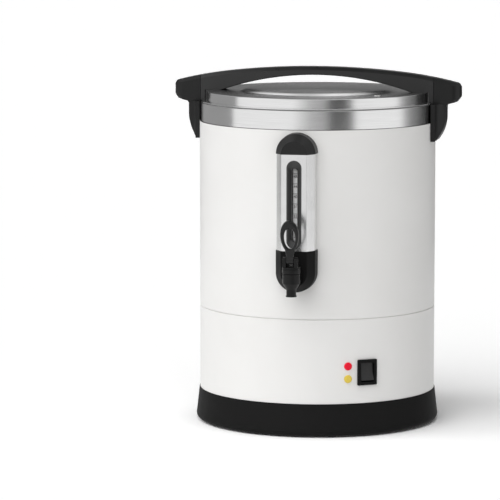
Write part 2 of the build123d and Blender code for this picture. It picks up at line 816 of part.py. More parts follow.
# Folded steel channel with the long gauge slot.
with BuildPart() as gauge_channel:
    with BuildSketch(Plane.XY.offset(channel_bottom)):
        with BuildLine():
            Polyline(*panel_points(channel_inset), close=True)
        make_face()
        mirror(about=Plane.YZ)
    extrude(amount=channel_top - channel_bottom)
    with BuildSketch(Plane.XY.offset(channel_bottom)):
        with BuildLine():
            Polyline(*panel_points(channel_inset + panel_sheet), close=True)
        make_face()
        mirror(about=Plane.YZ)
    extrude(amount=channel_top - channel_bottom, mode=Mode.SUBTRACT)
    with BuildSketch(slot_plane):
        SlotOverall(slot_length, 2 * slot_half_width, rotation=90)
    extrude(amount=5, both=True, mode=Mode.SUBTRACT)
    add(shell_space, mode=Mode.SUBTRACT)
save(gauge_channel, "gauge_channel")

# Domed cap: the panel's section turned half round at the top, with a socket inside
# for the head of the glass.
glass_seal_outer = glass_radius + seal_ring_wall
dome_axis = Axis((0, 0, channel_top), (0, -1, 0))
with BuildPart() as gauge_top_cap:
    with BuildSketch(Plane.XY.offset(channel_top)):
        with BuildLine():
            Polyline(*panel_points(0), close=True)
        make_face()
    revolve(axis=dome_axis, revolution_arc=180)
    with BuildPart(mode=Mode.PRIVATE) as top_hollow:
        with BuildSketch(Plane.XY.offset(channel_top)):
            with BuildLine():
                Polyline(*panel_points(panel_wall), close=True)
            make_face()
        revolve(axis=dome_axis, revolution_arc=180)
        with BuildSketch(Plane.XY.offset(channel_top)):
            with Locations((0, glass_axis)):
                Circle(glass_seal_outer + socket_wall)
        extrude(amount=40, mode=Mode.SUBTRACT)
    add(top_hollow.part, mode=Mode.SUBTRACT)
    with BuildSketch(Plane.XY.offset(channel_top)):
        with Locations((0, glass_axis)):
            Circle(glass_seal_outer + 0.05)
    extrude(amount=seal_ring_height + 3, mode=Mode.SUBTRACT)
    add(shell_space, mode=Mode.SUBTRACT)
save(gauge_top_cap, "gauge_top_cap")

chin_axis = Axis((0, 0, lower_cap_centre), (0, 1, 0))
with BuildPart() as gauge_bottom_cap:
    for inset, cut_mode in ((0, Mode.ADD), (panel_wall, Mode.SUBTRACT)):
        with BuildSketch(Plane.XY.offset(lower_cap_centre)):
            with BuildLine():
                Polyline(*panel_points(inset), close=True)
            make_face()
        revolve(axis=chin_axis, revolution_arc=180, mode=cut_mode)
        with BuildSketch(Plane.XY.offset(lower_cap_centre)):
            with BuildLine():
                Polyline(*panel_points(inset), close=True)
            make_face()
            mirror(about=Plane.YZ)
        extrude(amount=channel_bottom - lower_cap_centre, mode=cut_mode)
    with BuildSketch(shank_plane):
        Circle(shank_radius + fit_gap)
    extrude(amount=-panel_face + 5, mode=Mode.SUBTRACT)
    with BuildSketch(Plane.XY.offset(shank_height)):
        with Locations((0, glass_axis)):
            Circle(glass_seal_outer + socket_wall + fit_gap)
    extrude(amount=riser_height + 2, mode=Mode.SUBTRACT)
    add(shell_space, mode=Mode.SUBTRACT)
save(gauge_bottom_cap, "gauge_bottom_cap")

# Black moulding in the slot: a proud oval bezel, a flange behind the steel and a
# trough that the glass stands in.
bezel_half = slot_half_width - 0.1
with BuildPart() as gauge_frame:
    with BuildSketch(slot_plane.offset(bezel_stand)):
        SlotOverall(slot_length - 0.2, 2 * bezel_half, rotation=90)
    extrude(amount=-(bezel_stand + trough_depth))
    with BuildSketch(slot_plane.offset(-panel_sheet)):
        SlotOverall(slot_length + 4, 2 * bezel_half + 4, rotation=90)
    extrude(amount=-1.4)
    with BuildSketch(slot_plane.offset(bezel_stand)):
        SlotOverall(slot_length - 0.2 - 2 * bezel_width, 2 * (bezel_half - bezel_width), rotation=90)
    extrude(amount=-(bezel_stand + trough_depth - 1.5), mode=Mode.SUBTRACT)
    with BuildSketch(Plane.XY.offset(channel_bottom)):
        with Locations((0, glass_axis)):
            Circle(glass_radius + fit_gap)
    extrude(amount=channel_top - channel_bottom, mode=Mode.SUBTRACT)
save(gauge_frame, "gauge_frame")

trough_back = channel_face + trough_depth - 1.5
with BuildPart() as gauge_scale:
    with BuildSketch(slot_plane.offset(channel_face - trough_back)):
        SlotOverall(slot_length - scale_margin, 2 * scale_half_width, rotation=90)
    extrude(amount=scale_thickness)
save(gauge_scale, "gauge_scale")

riser_top = shank_height + riser_height
glass_bottom = riser_top - seal_ring_height
glass_top = channel_top + seal_ring_height + 2
with BuildPart() as gauge_glass:
    with BuildSketch(Plane.XY.offset(glass_bottom)):
        with Locations((0, glass_axis)):
            Circle(glass_radius)
            Circle(glass_radius - glass_wall, mode=Mode.SUBTRACT)
    extrude(amount=glass_top - glass_bottom)
save(gauge_glass, "gauge_glass")

with BuildPart() as gauge_seals:
    for seal_bottom in (glass_bottom, glass_top - seal_ring_height):
        with BuildSketch(Plane.XY.offset(seal_bottom)):
            with Locations((0, glass_axis)):
                Circle(glass_seal_outer)
                Circle(glass_radius + 0.05, mode=Mode.SUBTRACT)
        extrude(amount=seal_ring_height)
save(gauge_seals, "gauge_seals")

# ================================================================ tap
tap_section = Plane(origin=(0, tap_axis, 0), x_dir=(1, 0, 0), z_dir=(0, -1, 0))
tap_line = Axis((0, tap_axis, 0), (0, 0, 1))
shank_end = tank_inner - 11
collar_back = -panel_face + 0.1

# Barrel with a tapered nozzle, a shank through panel, shell and tank wall, and a
# riser for the glass.
with BuildPart() as tap_body:
    with BuildSketch(tap_section):
        with BuildLine():
            Polyline(
                (0, nozzle_bottom),
                (nozzle_radius + 0.6, nozzle_bottom),
                (nozzle_radius + 0.6, nozzle_bottom + 1.0),
                (nozzle_radius, nozzle_bottom + 1.8),
                (nozzle_radius, nozzle_top),
                (barrel_radius, barrel_taper_top),
                (barrel_radius, barrel_shoulder),
                (neck_radius, barrel_shoulder),
                (neck_radius, neck_top),
                (0, neck_top),
                close=True,
            )
        make_face()
    revolve(axis=tap_line)
    with BuildSketch(shank_plane.offset(shank_end)):
        Circle(shank_radius)
    extrude(amount=collar_back - shank_end)
    with BuildSketch(shank_plane.offset(collar_back)):
        Circle(shank_radius + 1)
    extrude(amount=2.2)
    with BuildSketch(shank_plane.offset(collar_back)):
        Circle(connector_radius)
    extrude(amount=-tap_axis - collar_back)
    with BuildSketch(shank_plane.offset(tank_radius + 2.2)):
        Circle(shank_radius + 3.5)
    extrude(amount=2.0)
    with BuildSketch(Plane.XY.offset(shank_height)):
        with Locations((0, glass_axis)):
            Circle(glass_seal_outer + socket_wall)
    extrude(amount=riser_top - shank_height)
    with BuildSketch(Plane.XY.offset(glass_bottom)):
        with Locations((0, glass_axis)):
            Circle(glass_seal_outer + 0.05)
    extrude(amount=seal_ring_height, mode=Mode.SUBTRACT)
    with BuildSketch(Plane.XY.offset(shank_height)):
        with Locations((0, glass_axis)):
            Circle(glass_radius - glass_wall)
    extrude(amount=glass_bottom - shank_height, mode=Mode.SUBTRACT)
    with BuildSketch(shank_plane.offset(shank_end)):
        Circle(shank_bore)
    extrude(amount=collar_back - shank_end, mode=Mode.SUBTRACT)
    with BuildSketch(shank_plane.offset(shank_end)):
        Circle(connector_bore)
    extrude(amount=-tap_axis - shank_end, mode=Mode.SUBTRACT)
    with BuildSketch(Plane.XY.offset(seat_height)):
        with Locations((0, tap_axis)):
            Circle(barrel_bore)
    extrude(amount=neck_top - seat_height, mode=Mode.SUBTRACT)
    with BuildSketch(Plane.XY.offset(nozzle_bottom)):
        with Locations((0, tap_axis)):
            Circle(nozzle_bore)
    extrude(amount=seat_height - nozzle_bottom, mode=Mode.SUBTRACT)
save(tap_body, "tap_body")

with BuildPart() as tap_gaskets:
    for gasket_plane in (shank_plane.offset(tank_radius + 0.1), shank_plane.offset(tank_inner - 2.8)):
        with BuildSketch(gasket_plane):
            Circle(shank_radius + 3.5)
            Circle(shank_radius + 0.05, mode=Mode.SUBTRACT)
        extrude(amount=2.1)
save(tap_gaskets, "tap_gaskets")

with BuildPart() as tap_nut:
    with BuildSketch(shank_plane.offset(tank_inner - 2.9)):
        RegularPolygon(shank_radius + 4.5, 6)
        Circle(shank_radius + 0.02, mode=Mode.SUBTRACT)
    extrude(amount=-5)
save(tap_nut, "tap_nut")

# Screw-on bonnet with two ears for the pivot pin.
ear_plane = Plane(origin=(0, pivot_y, pivot_height), x_dir=(0, 1, 0), z_dir=(1, 0, 0))
ear_drop = pivot_height - bonnet_top + 0.5
with BuildPart() as tap_bonnet:
    with BuildSketch(tap_section):
        with BuildLine():
            Polyline(
                (stem_radius + 0.1, neck_top + fit_gap),
                (neck_radius + 0.1, neck_top + fit_gap),
                (neck_radius + 0.1, barrel_shoulder + fit_gap),
                (bonnet_radius, barrel_shoulder + fit_gap),
                (bonnet_radius, bonnet_top - 1.2),
                (bonnet_radius - 1.2, bonnet_top),
                (stem_radius + 0.1, bonnet_top),
                close=True,
            )
        make_face()
    revolve(axis=tap_line)
    for ear_start in (ear_inner, -ear_outer):
        with BuildSketch(ear_plane.offset(ear_start)):
            Circle(lever_hub_radius - 0.6)
            with Locations((0.9, -ear_drop / 2)):
                Rectangle(2 * lever_hub_radius, ear_drop)
            Circle(pivot_pin_radius + 0.02, mode=Mode.SUBTRACT)
        extrude(amount=ear_outer - ear_inner)
save(tap_bonnet, "tap_bonnet")

with BuildPart() as lever_pin:
    with BuildSketch(ear_plane):
        Circle(pivot_pin_radius)
    extrude(amount=ear_outer + 0.4, both=True)
save(lever_pin, "lever_pin")

# Lever: a hub between the ears, an oval loop above and a fork that lifts the stem.
lean = radians(lever_lean)
lever_plane = Plane(
    origin=(0, pivot_y, pivot_height), x_dir=(1, 0, 0), z_dir=(0, -cos(lean), -sin(lean))
)
hole_half_width = loop_half_width - loop_side
hole_half_height = loop_height / 2 - (loop_side + loop_crown) / 2
fork_reach = pivot_offset + 2.8
fork_half_height = stem_pin_radius + 1.8
fork_root = sqrt((pivot_offset - stem_radius - fit_gap) ** 2 - fork_half_height**2)
with BuildPart() as tap_lever:
    with BuildSketch(lever_plane):
        with Locations((0, loop_centre_up)):
            Ellipse(loop_half_width, loop_height / 2)
        with Locations((0, loop_centre_up / 2)):
            Rectangle(2 * lever_half_width, loop_centre_up)
        with Locations((0, loop_centre_up - (loop_crown - loop_side) / 2)):
            Ellipse(hole_half_width, hole_half_height, mode=Mode.SUBTRACT)
    extrude(amount=loop_thickness / 2, both=True)
    chamfer(tap_lever.faces().filter_by(Axis(lever_plane.origin, lever_plane.z_dir)).edges(), length=1.0)
    with BuildSketch(ear_plane):
        Circle(lever_hub_radius)
    extrude(amount=lever_half_width, both=True)
    with BuildSketch(ear_plane):
        Rectangle(fork_reach, 2 * fork_half_height, align=(Align.MIN, Align.CENTER))
        with Locations((fork_reach, 0)):
            Rectangle(
                fork_reach - pivot_offset + stem_pin_radius + stem_slot_gap,
                2 * (stem_pin_radius + stem_slot_gap),
                align=(Align.MAX, Align.CENTER),
                mode=Mode.SUBTRACT,
            )
    extrude(amount=lever_half_width, both=True)
    with BuildSketch(ear_plane):
        with Locations((fork_root, 0)):
            Rectangle(fork_reach, 4 * fork_half_height, align=(Align.MIN, Align.CENTER))
    extrude(amount=stem_radius + fit_gap, both=True, mode=Mode.SUBTRACT)
    with BuildSketch(ear_plane):
        Circle(pivot_pin_radius + 0.06)
    extrude(amount=lever_half_width + 1, both=True, mode=Mode.SUBTRACT)
save(tap_lever, "tap_lever")

# Stem with a flat head and a cross pin in the lever's fork.
cup_bottom = seat_height + fit_gap
cup_top = cup_bottom + seat_cup_height
stem_pin_plane = Plane(origin=(0, tap_axis, pivot_height), x_dir=(0, 1, 0), z_dir=(1, 0, 0))
with BuildPart() as tap_stem:
    with BuildSketch(Plane.XY.offset(cup_bottom + 3)):
        with Locations((0, tap_axis)):
            Circle(stem_radius)
    extrude(amount=pivot_height + 2.2 - cup_bottom - 3)
    with BuildSketch(stem_pin_plane):
        Circle(stem_pin_radius)
    extrude(amount=lever_half_width - 0.2, both=True)
save(tap_stem, "tap_stem")

with BuildPart() as seat_cup:
    with BuildSketch(tap_section):
        with BuildLine():
            Polyline(
                (stem_radius + 0.02, cup_bottom + 2.2),
                (seat_cup_radius - 1.6, cup_bottom),
                (seat_cup_radius, cup_bottom + 0.4),
                (seat_cup_radius - 0.6, cup_bottom + 3.4),
                (stem_radius + 2.0, cup_top),
                (stem_radius + 0.02, cup_top),
                close=True,
            )
        make_face()
    revolve(axis=tap_line)
save(seat_cup, "seat_cup")

spring_length = neck_top + fit_gap - cup_top
spring_start = (0, tap_axis, cup_top + spring_wire / 2 + 0.1)
with BuildPart() as tap_spring:
    with BuildLine():
        coil = Helix(
            pitch=(spring_length - spring_wire - 0.2) / spring_turns,
            height=spring_length - spring_wire - 0.2,
            radius=spring_radius,
            center=spring_start,
        )
    with BuildSketch(Plane(origin=coil @ 0, z_dir=coil % 0)):
        Rectangle(spring_wire, spring_wire)
    sweep(path=coil, is_frenet=True)
save(tap_spring, "tap_spring")

# ================================================================ lid
# Stamped lid: flat rim, a low crown in the middle and a turned-down edge with a
# small flange that rests on the seal.
vent_turn = radians(vent_angle)
vent_circle = lid_radius - vent_margin
vent_spot = (vent_circle * sin(vent_turn), -vent_circle * cos(vent_turn))
with BuildPart() as lid_shell:
    with BuildSketch(Plane.XZ):
        for drop, line_mode in ((0, Mode.ADD), (lid_sheet, Mode.SUBTRACT)):
            with BuildLine():
                crown_top = lid_top + crown_height - drop
                crown = Line((0, crown_top), (crown_radius - crown_slope, crown_top))
                rise = ThreePointArc(
                    crown @ 1,
                    (crown_radius - 0.3 * crown_slope - drop * 0.5, lid_top + 0.52 * crown_height - drop),
                    (crown_radius - drop, lid_top - drop),
                )
                Polyline(
                    rise @ 1,
                    (lid_radius - drop, lid_top - drop),
                    (lid_radius - drop, flange_bottom - 5),
                    (0, flange_bottom - 5),
                    crown @ 0,
                )
            make_face(mode=line_mode)
    revolve(axis=Axis.Z)
    with BuildSketch(Plane.XY.offset(flange_bottom - 10)):
        Circle(lid_flange_radius + 10)
    extrude(amount=10, mode=Mode.SUBTRACT)
    with BuildSketch(Plane.XY.offset(flange_bottom)):
        Circle(lid_flange_radius)
        Circle(lid_radius - lid_sheet, mode=Mode.SUBTRACT)
    extrude(amount=lid_sheet)
    lid_corner = lid_shell.edges().filter_by(GeomType.CIRCLE).filter_by(
        lambda edge: abs(edge.radius - lid_radius) < 0.01 and abs(edge.center().Z - lid_top) < 0.01
    )
    fillet(lid_corner, lid_edge_round)
    with BuildSketch(Plane.XY.offset(lid_under - 1)):
        with Locations(vent_spot):
            Circle(vent_radius - 0.9)
        with GridLocations(2 * arch_screw_reach, arch_screw_spacing, 2, 2):
            Circle(1.7)
    extrude(amount=4, mode=Mode.SUBTRACT)
save(lid_shell, "lid_shell")

with BuildPart() as lid_vent:
    with BuildSketch(Plane.XY.offset(lid_top)):
        with Locations(vent_spot):
            Circle(vent_radius + 0.5)
    extrude(amount=0.8)
    fillet(lid_vent.faces().sort_by(Axis.Z)[-1].edges(), 0.5)
    with BuildSketch(Plane.XY.offset(lid_under - 1.5)):
        with Locations(vent_spot):
            Circle(vent_radius - 1.0)
    extrude(amount=lid_sheet + 1.5)
    with BuildSketch(Plane.XY.offset(lid_under - 2)):
        with Locations(vent_spot):
            Circle(vent_radius - 1.8)
    extrude(amount=6, mode=Mode.SUBTRACT)
save(lid_vent, "lid_vent")

with BuildPart() as lid_skirt:
    with BuildSketch(Plane.XY.offset(lid_under - skirt_depth)):
        Circle(skirt_radius)
        Circle(skirt_radius - lid_sheet, mode=Mode.SUBTRACT)
    extrude(amount=skirt_depth)
save(lid_skirt, "lid_skirt")

with BuildPart() as lid_seal:
    with BuildSketch(Plane.XZ):
        with BuildLine():
            Polyline(
                (seal_inner, rim_top + 0.2),
                (seal_outer, rim_top + 0.2),
                (seal_outer, flange_bottom - 0.25),
                (seal_inner, flange_bottom - 0.25),
                close=True,
            )
        make_face()
    revolve(axis=Axis.Z)
save(lid_seal, "lid_seal")

# Arched handle across the lid, with legs that drop over the lid's edge and end on the
# same round face as the side handles begin.
with BuildPart() as lid_handle:
    with BuildSketch(Plane.XZ):
        with BuildLine():
            end_of_top = top_line(body_radius + 8)
            foot_line = Polyline(
                end_of_top @ 1,
                (body_radius + 8, leg_bottom),
                (leg_inner, leg_bottom),
                (leg_inner, lid_top),
                (arch_foot_reach, lid_top),
            )
            sagitta = arch_underside - lid_top
            under_radius = (arch_foot_reach**2 + sagitta**2) / (2 * sagitta)
            RadiusArc(foot_line @ 1, (0, arch_underside), -under_radius)
            Line((0, arch_underside), (0, handle_top))
        make_face()
        mirror(about=Plane.YZ)
    extrude(amount=handle_thickness / 2, both=True)
    arch_edges = lid_handle.faces().filter_by(Axis.Y).edges().filter_by(GeomType.CIRCLE)
    lower_edges = arch_edges.filter_by(lambda edge: abs(edge.radius - under_radius) < 1)
    upper_edges = arch_edges.filter_by(lambda edge: abs(edge.radius - under_radius) >= 1)
    chamfer(upper_edges, length=handle_chamfer)
    chamfer(lower_edges, length=handle_lower_chamfer)
    with BuildSketch(Plane.XY.offset(leg_bottom - 1)):
        Circle(body_radius)
    extrude(amount=handle_top - leg_bottom + 5, mode=Mode.INTERSECT)
    with BuildSketch(Plane.XY.offset(leg_bottom - 1)):
        Circle(lid_flange_radius + turn_gap)
    extrude(amount=flange_bottom + lid_sheet - leg_bottom + 1, mode=Mode.SUBTRACT)
    with BuildSketch(Plane.XY.offset(lid_top)):
        with GridLocations(2 * arch_screw_reach, arch_screw_spacing, 2, 2):
            Circle(1.55)
    extrude(amount=9, mode=Mode.SUBTRACT)
save(lid_handle, "lid_handle")

with BuildPart() as lid_handle_screws:
    with BuildSketch(Plane.XY.offset(lid_under - 2)):
        with GridLocations(2 * arch_screw_reach, arch_screw_spacing, 2, 2):
            Circle(3.2)
    extrude(amount=2)
    with BuildSketch(Plane.XY.offset(lid_under)):
        with GridLocations(2 * arch_screw_reach, arch_screw_spacing, 2, 2):
            Circle(1.5)
    extrude(amount=9)
save(lid_handle_screws, "lid_handle_screws")

# ================================================================ percolator
pump_foot = well_bottom + tank_wall + fit_gap
collar_height = basket_bottom - fit_gap - collar_thickness
with BuildPart() as pump_stem:
    with BuildSketch(Plane.XY.offset(pump_foot + pump_bell_height - 1)):
        Circle(pump_tube_radius)
        Circle(pump_tube_radius - pump_tube_wall, mode=Mode.SUBTRACT)
    extrude(amount=pump_tube_top - pump_foot - pump_bell_height + 1)
    with BuildSketch(Plane.XY.offset(collar_height)):
        Circle(pump_tube_radius + collar_width)
        Circle(pump_tube_radius - 0.2, mode=Mode.SUBTRACT)
    extrude(amount=collar_thickness)
save(pump_stem, "pump_stem")

with BuildPart() as pump_bell:
    with BuildSketch(Plane.XZ):
        with BuildLine():
            Polyline(
                (pump_tube_radius + 0.05, pump_foot + pump_bell_height + 4),
                (pump_tube_radius + 1.2, pump_foot + pump_bell_height + 4),
                (pump_tube_radius + 1.2, pump_foot + pump_bell_height - 2),
                (pump_bell_radius, pump_foot + 3),
                (pump_bell_radius, pump_foot),
                (pump_bell_radius - 1, pump_foot),
                (pump_bell_radius - 1, pump_foot + 2.4),
                (pump_tube_radius + 0.05, pump_foot + pump_bell_height - 3.2),
                close=True,
            )
        make_face()
    revolve(axis=Axis.Z)
    with BuildSketch(Plane.XY.offset(pump_foot - 1)):
        with PolarLocations(pump_bell_radius, 6):
            Rectangle(4, 7)
    extrude(amount=3, mode=Mode.SUBTRACT)
save(pump_bell, "pump_bell")

hub_inner = pump_tube_radius + slide_gap
with BuildPart() as basket:
    with BuildSketch(Plane.XY.offset(basket_bottom)):
        Circle(basket_radius)
        Circle(hub_inner, mode=Mode.SUBTRACT)
        for ring_radius in hole_ring_radii:
            with PolarLocations(ring_radius, round(2 * pi * ring_radius / hole_pitch)):
                Circle(hole_radius, mode=Mode.SUBTRACT)
    extrude(amount=basket_wall)
    with BuildSketch(Plane.XY.offset(basket_bottom)):
        Circle(basket_radius)
        Circle(basket_radius - basket_wall, mode=Mode.SUBTRACT)
        Circle(hub_inner + hub_wall)
        Circle(hub_inner, mode=Mode.SUBTRACT)
    extrude(amount=basket_depth)
save(basket, "basket")

cover_height = basket_bottom + basket_depth + fit_gap
with BuildPart() as basket_cover:
    with BuildSketch(Plane.XY.offset(cover_height)):
        Circle(cover_radius)
        Circle(hub_inner, mode=Mode.SUBTRACT)
        for ring_radius in hole_ring_radii:
            with PolarLocations(ring_radius, round(2 * pi * ring_radius / hole_pitch)):
                Circle(hole_radius, mode=Mode.SUBTRACT)
    extrude(amount=basket_wall)
    with BuildSketch(Plane.XY.offset(cover_height)):
        Circle(cover_radius)
        Circle(cover_radius - basket_wall, mode=Mode.SUBTRACT)
    extrude(amount=-4)
    with BuildSketch(Plane.XY.offset(cover_height)):
        Circle(cover_radius)
        Circle(cover_radius - basket_wall, mode=Mode.SUBTRACT)
    extrude(amount=3)
save(basket_cover, "basket_cover")
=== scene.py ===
import json
from math import copysign, cos, pi, radians, sin, tan

import bmesh
import bpy
from mathutils import Matrix, Vector


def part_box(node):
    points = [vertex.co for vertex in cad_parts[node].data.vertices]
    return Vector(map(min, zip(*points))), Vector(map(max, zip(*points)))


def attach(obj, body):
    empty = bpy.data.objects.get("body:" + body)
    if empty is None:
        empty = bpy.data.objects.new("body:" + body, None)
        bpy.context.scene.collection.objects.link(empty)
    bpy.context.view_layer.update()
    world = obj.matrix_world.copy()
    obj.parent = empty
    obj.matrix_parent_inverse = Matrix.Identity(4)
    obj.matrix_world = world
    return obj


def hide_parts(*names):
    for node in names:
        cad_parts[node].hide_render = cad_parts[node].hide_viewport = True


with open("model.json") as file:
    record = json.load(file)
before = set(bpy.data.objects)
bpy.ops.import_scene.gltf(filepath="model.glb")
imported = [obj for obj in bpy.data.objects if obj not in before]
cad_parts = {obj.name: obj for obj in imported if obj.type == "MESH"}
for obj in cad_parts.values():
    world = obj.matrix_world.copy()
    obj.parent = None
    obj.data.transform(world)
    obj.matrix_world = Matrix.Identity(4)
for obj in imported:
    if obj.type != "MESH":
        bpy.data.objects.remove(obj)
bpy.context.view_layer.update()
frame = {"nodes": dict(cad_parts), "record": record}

mm = 0.001

# ---------------------------------------------------------------- studio, in metres and degrees

camera_side = 9.5  # round from the tap towards +X
camera_distance = 3.8128
camera_height = 0.6744
camera_yaw = 1.14  # past the urn's axis
camera_tilt = 7.236
camera_lens = 245.69  # in millimetres, as the sensor
camera_sensor = 36.0

ambient_light = 0.27
# each lamp's brightness, then its spread, its side round from the tap, and its height above the floor
key_lamp = (1.6, 60.0, -24.0, 50.0)
side_lamp = (0.68, 30.0, -76.0, 36.0)
fill_lamp = (0.42, 120.0, 28.0, 25.0)

floor_reach = 60.0
floor_shade = 0.95
floor_seen = 1.175  # its paint as the camera sees it, which comes out white where nothing shades it
wall_distance = 1.5
wall_foot = 0.002
wall_height = 2.0
wall_seam = 1.12  # height of the wall's dado
wall_step = 4
ceiling_steps = 48
# brightness of the wall by degrees round from the tap, as reflections see it:
# the lid's flat rim mirrors the dado at the back, and its shoulder mirrors what is above that
dado_shades = (
    (-150, 0.1), (-135, 0.34), (-80, 0.32), (-77, 1.0), (-14, 1.0), (3, 0.5), (16, 0.38), (23, 0.05),
    (35, 0.05), (41, 0.22), (47, 1.0), (94, 1.0), (102, 0.48), (110, 0.26), (132, 0.05), (170, 0.08),
    (180, 0.15), (196, 0.16), (199, 0.45), (206, 0.45), (210, 0.1),
)
upper_shades = (
    (-150, 1.0), (-135, 0.5), (-80, 0.5), (-77, 1.1), (94, 1.1), (104, 0.6), (140, 0.6), (178, 0.35),
    (182, 1.1), (187, 1.1), (190.5, 0.6), (194, 0.6), (197, 1.05), (210, 1.0),
)
# brightness of the ceiling by metres from its middle
ceiling_shades = ((0.5, 0.05), (0.75, 1.1), (wall_distance, 1.1))

# ---------------------------------------------------------------- places shared with the solids, in metres

paint_top = 0.3373  # top of the painted shell
tap_axis = -0.170
pivot_spot = (0.0, -0.176, 0.201)  # of the lever's pin
bonnet_foot = 0.1859
bonnet_top = 0.1936
lever_lean = 10.0  # in degrees
inlet_height = 0.074
pin_back = 0.1206
pin_front = 0.1330
bezel_half = 0.0080  # half the width of the gauge's black bezel
bezel_width = 0.00135
flange_reach = 0.0021  # of the bezel's flange past its ends
first_line = 0.2910  # the scale's line for 48 cups, which are six litres
four_cups = 0.01094  # from line to line, half a litre of the tank
scale_cups = (48, 44, 40, 36, 32, 28, 24)

# ---------------------------------------------------------------- pieces made here, in millimetres

# lever: each side of its loop as half width, height of the middle above the pivot, and half height
loop_outside = (10.1, 27.0, 17.9)
loop_inside = (6.2, 24.6, 11.4)
loop_egg = 0.07  # share by which the loop is wider at its crown and narrower at its foot
loop_steps = 60
loop_squareness = 0.75  # of a section, from 1 for an ellipse towards 0 for a box
neck_squareness = 0.5
section_corners = 16
lever_half_depth = 2.8
# its neck by height above the pivot, half width, and half depth
neck_sections = (
    (0, 4.1, lever_half_depth), (5, 4.2, lever_half_depth), (8.5, 4.7, lever_half_depth), (12.2, 5.6, 2.5),
)
hub_radius = 4.2
hub_half = 4.1  # half its length along the pin
hub_round = 0.4
hub_bore = 1.36
hub_steps = 40
fork_reach = 8.8  # back from the pin
fork_half = 2.9
fork_inside = 1.9
fork_slot_start = 4.6
fork_slot_half = 1.4

bonnet_radius = 9.9
bonnet_steps = 72
bonnet_bore = 8.3
bonnet_roof = 4.6  # underside of its roof above its foot
bonnet_foot_width = 0.9
bonnet_foot_slope = 0.7
bonnet_crown_round = 0.9
groove_depth = 0.6
groove_drops = (1.8, 2.1, 2.7, 3.0)  # lip, top, bottom and lip of the grip groove below the bonnet's top
stem_hole = 1.7
ear_radius = 3.6  # round the pin
ear_arc = range(15, 181, 15)  # degrees of its round head, from the back over the top
ear_front = -3.3
ear_back = 5.1
ear_shoulder = -1.6
ear_foot = -7.8
ear_inside = 4.4
ear_outside = 8.2

# a thin dark ring at the top of the painted shell: painted shade for the shadow line where the paint meets
# the rim band
bead_inside = 131.05
bead_outside = 131.9
bead_height = 0.48
bead_side = 0.3  # height of its upright side
bead_slope = 0.3
bead_steps = 180

window_half = 3.05  # the narrow window that the glass shows through
window_half_length = 39.8
window_drop = 0.8  # its middle below the bezel's
glass_round = 3.8
window_steps = 24  # for each round end
lip_front = 0.4  # behind the bezel's face
lip_back = 1.6

line_half = 2.7
line_height = 0.7
number_size = 4.6
number_drop = 0.5  # below the line
number_boldness = 0.16
print_lift = 0.02

pin_half_width = 1.0
pin_half_height = 2.0
pin_spots = ((-7.0, 1.6), (7.0, 1.6), (0.0, -2.4))  # in the socket, across and up from its middle

moulded_edge = 0.25
pin_edge = 0.35
sharp_edge = 28.0  # degrees from which an edge is rounded
flat_facets = 0.4  # degrees up to which two facets belong to one face
# rounding of the solids' edges
eased = {
    "base_ring": 0.5, "lower_shell": 0.2, "upper_shell": 0.2, "rim_band": 0.2, "lid_shell": 0.2,
    "lid_handle": 0.6, "side_handle_left": 0.6, "side_handle_right": 0.6, "gauge_channel": 0.38,
    "gauge_top_cap": 0.4, "gauge_bottom_cap": 0.4, "gauge_frame": 0.25, "tap_body": 0.45,
    "power_inlet": 0.3, "switch_housing": 0.3, "rocker": 0.5, "lamp_red": 0.2, "lamp_yellow": 0.2,
}

# ---------------------------------------------------------------- finishes

# mouldings of one grey: darkest and lightest shade, roughness, and specular level; apart from black_plastic
# and the scale's ink, each row is a copy of one black plastic, made a little lighter or darker so that its
# part comes out as bright as it looks where light falls on it: painted light and shade
grey_mouldings = {
    "black_plastic": (0.009, 0.014, 0.42, 0.2),
    "handle_plastic": (0.006, 0.010, 0.27, 0.54),
    "grip_plastic": (0.006, 0.009, 0.36, 0.29),
    "cap_plastic": (0.010, 0.015, 0.38, 0.25),
    # painted shade: darker than black_plastic, so that the lower gauge cap and the switch housing come out as
    # dark as they look
    "chin_plastic": (0.005, 0.008, 0.4, 0.08),
    # painted light: several times lighter than the other black mouldings, so that the shaded walls of the
    # gauge's slot come out lit
    "frame_plastic_painted_light": (0.035, 0.05, 0.36, 0.4),
    "tap_plastic": (0.005, 0.009, 0.3, 0.2),
    "lever_plastic": (0.005, 0.008, 0.25, 0.32),
    "base_plastic": (0.011, 0.016, 0.5, 0.025),
    # painted light: lighter than black_plastic, so that the rocker's face comes out as light as it looks
    "rocker_plastic": (0.017, 0.023, 0.28, 0.3),
    "scale_ink": (0.26, 0.32, 0.6, 0.2),
}
rubbers = {
    "black_rubber": (0.016, 0.03, 0.68, 0.25),
    # painted shade: a grey picked so that the line of the gap between lid and rim comes out as grey as it
    # looks in its shadow
    "seal_rubber_painted_shade": (0.4, 0.48, 0.6, 0.3),
}
rubber_skin = (900.0, 0.3)  # grain per metre and its depth
mould_skin = (1500.0, 0.15)
mould_wear = 0.07  # how much duller a surface is where it was touched
steel_wear = 0.05
# nodes given their own copy of their slot's moulding or metal, other than their slot's, lighter or darker so
# that each comes out as bright as it looks in its light and shade: painted light and shade
shade_matched_finish = {
    "lid_handle": "handle_plastic", "side_handle_left": "grip_plastic", "side_handle_right": "grip_plastic",
    "gauge_top_cap": "cap_plastic", "gauge_bottom_cap": "chin_plastic", "gauge_frame": "frame_plastic_painted_light",
    "base_ring": "base_plastic", "rocker": "rocker_plastic", "switch_housing": "chin_plastic",
    "tap_body": "tap_plastic", "tap_stem": "stem_steel_painted_shade", "lid_seal": "seal_rubber_painted_shade",
}


# ---------------------------------------------------------------- node trees

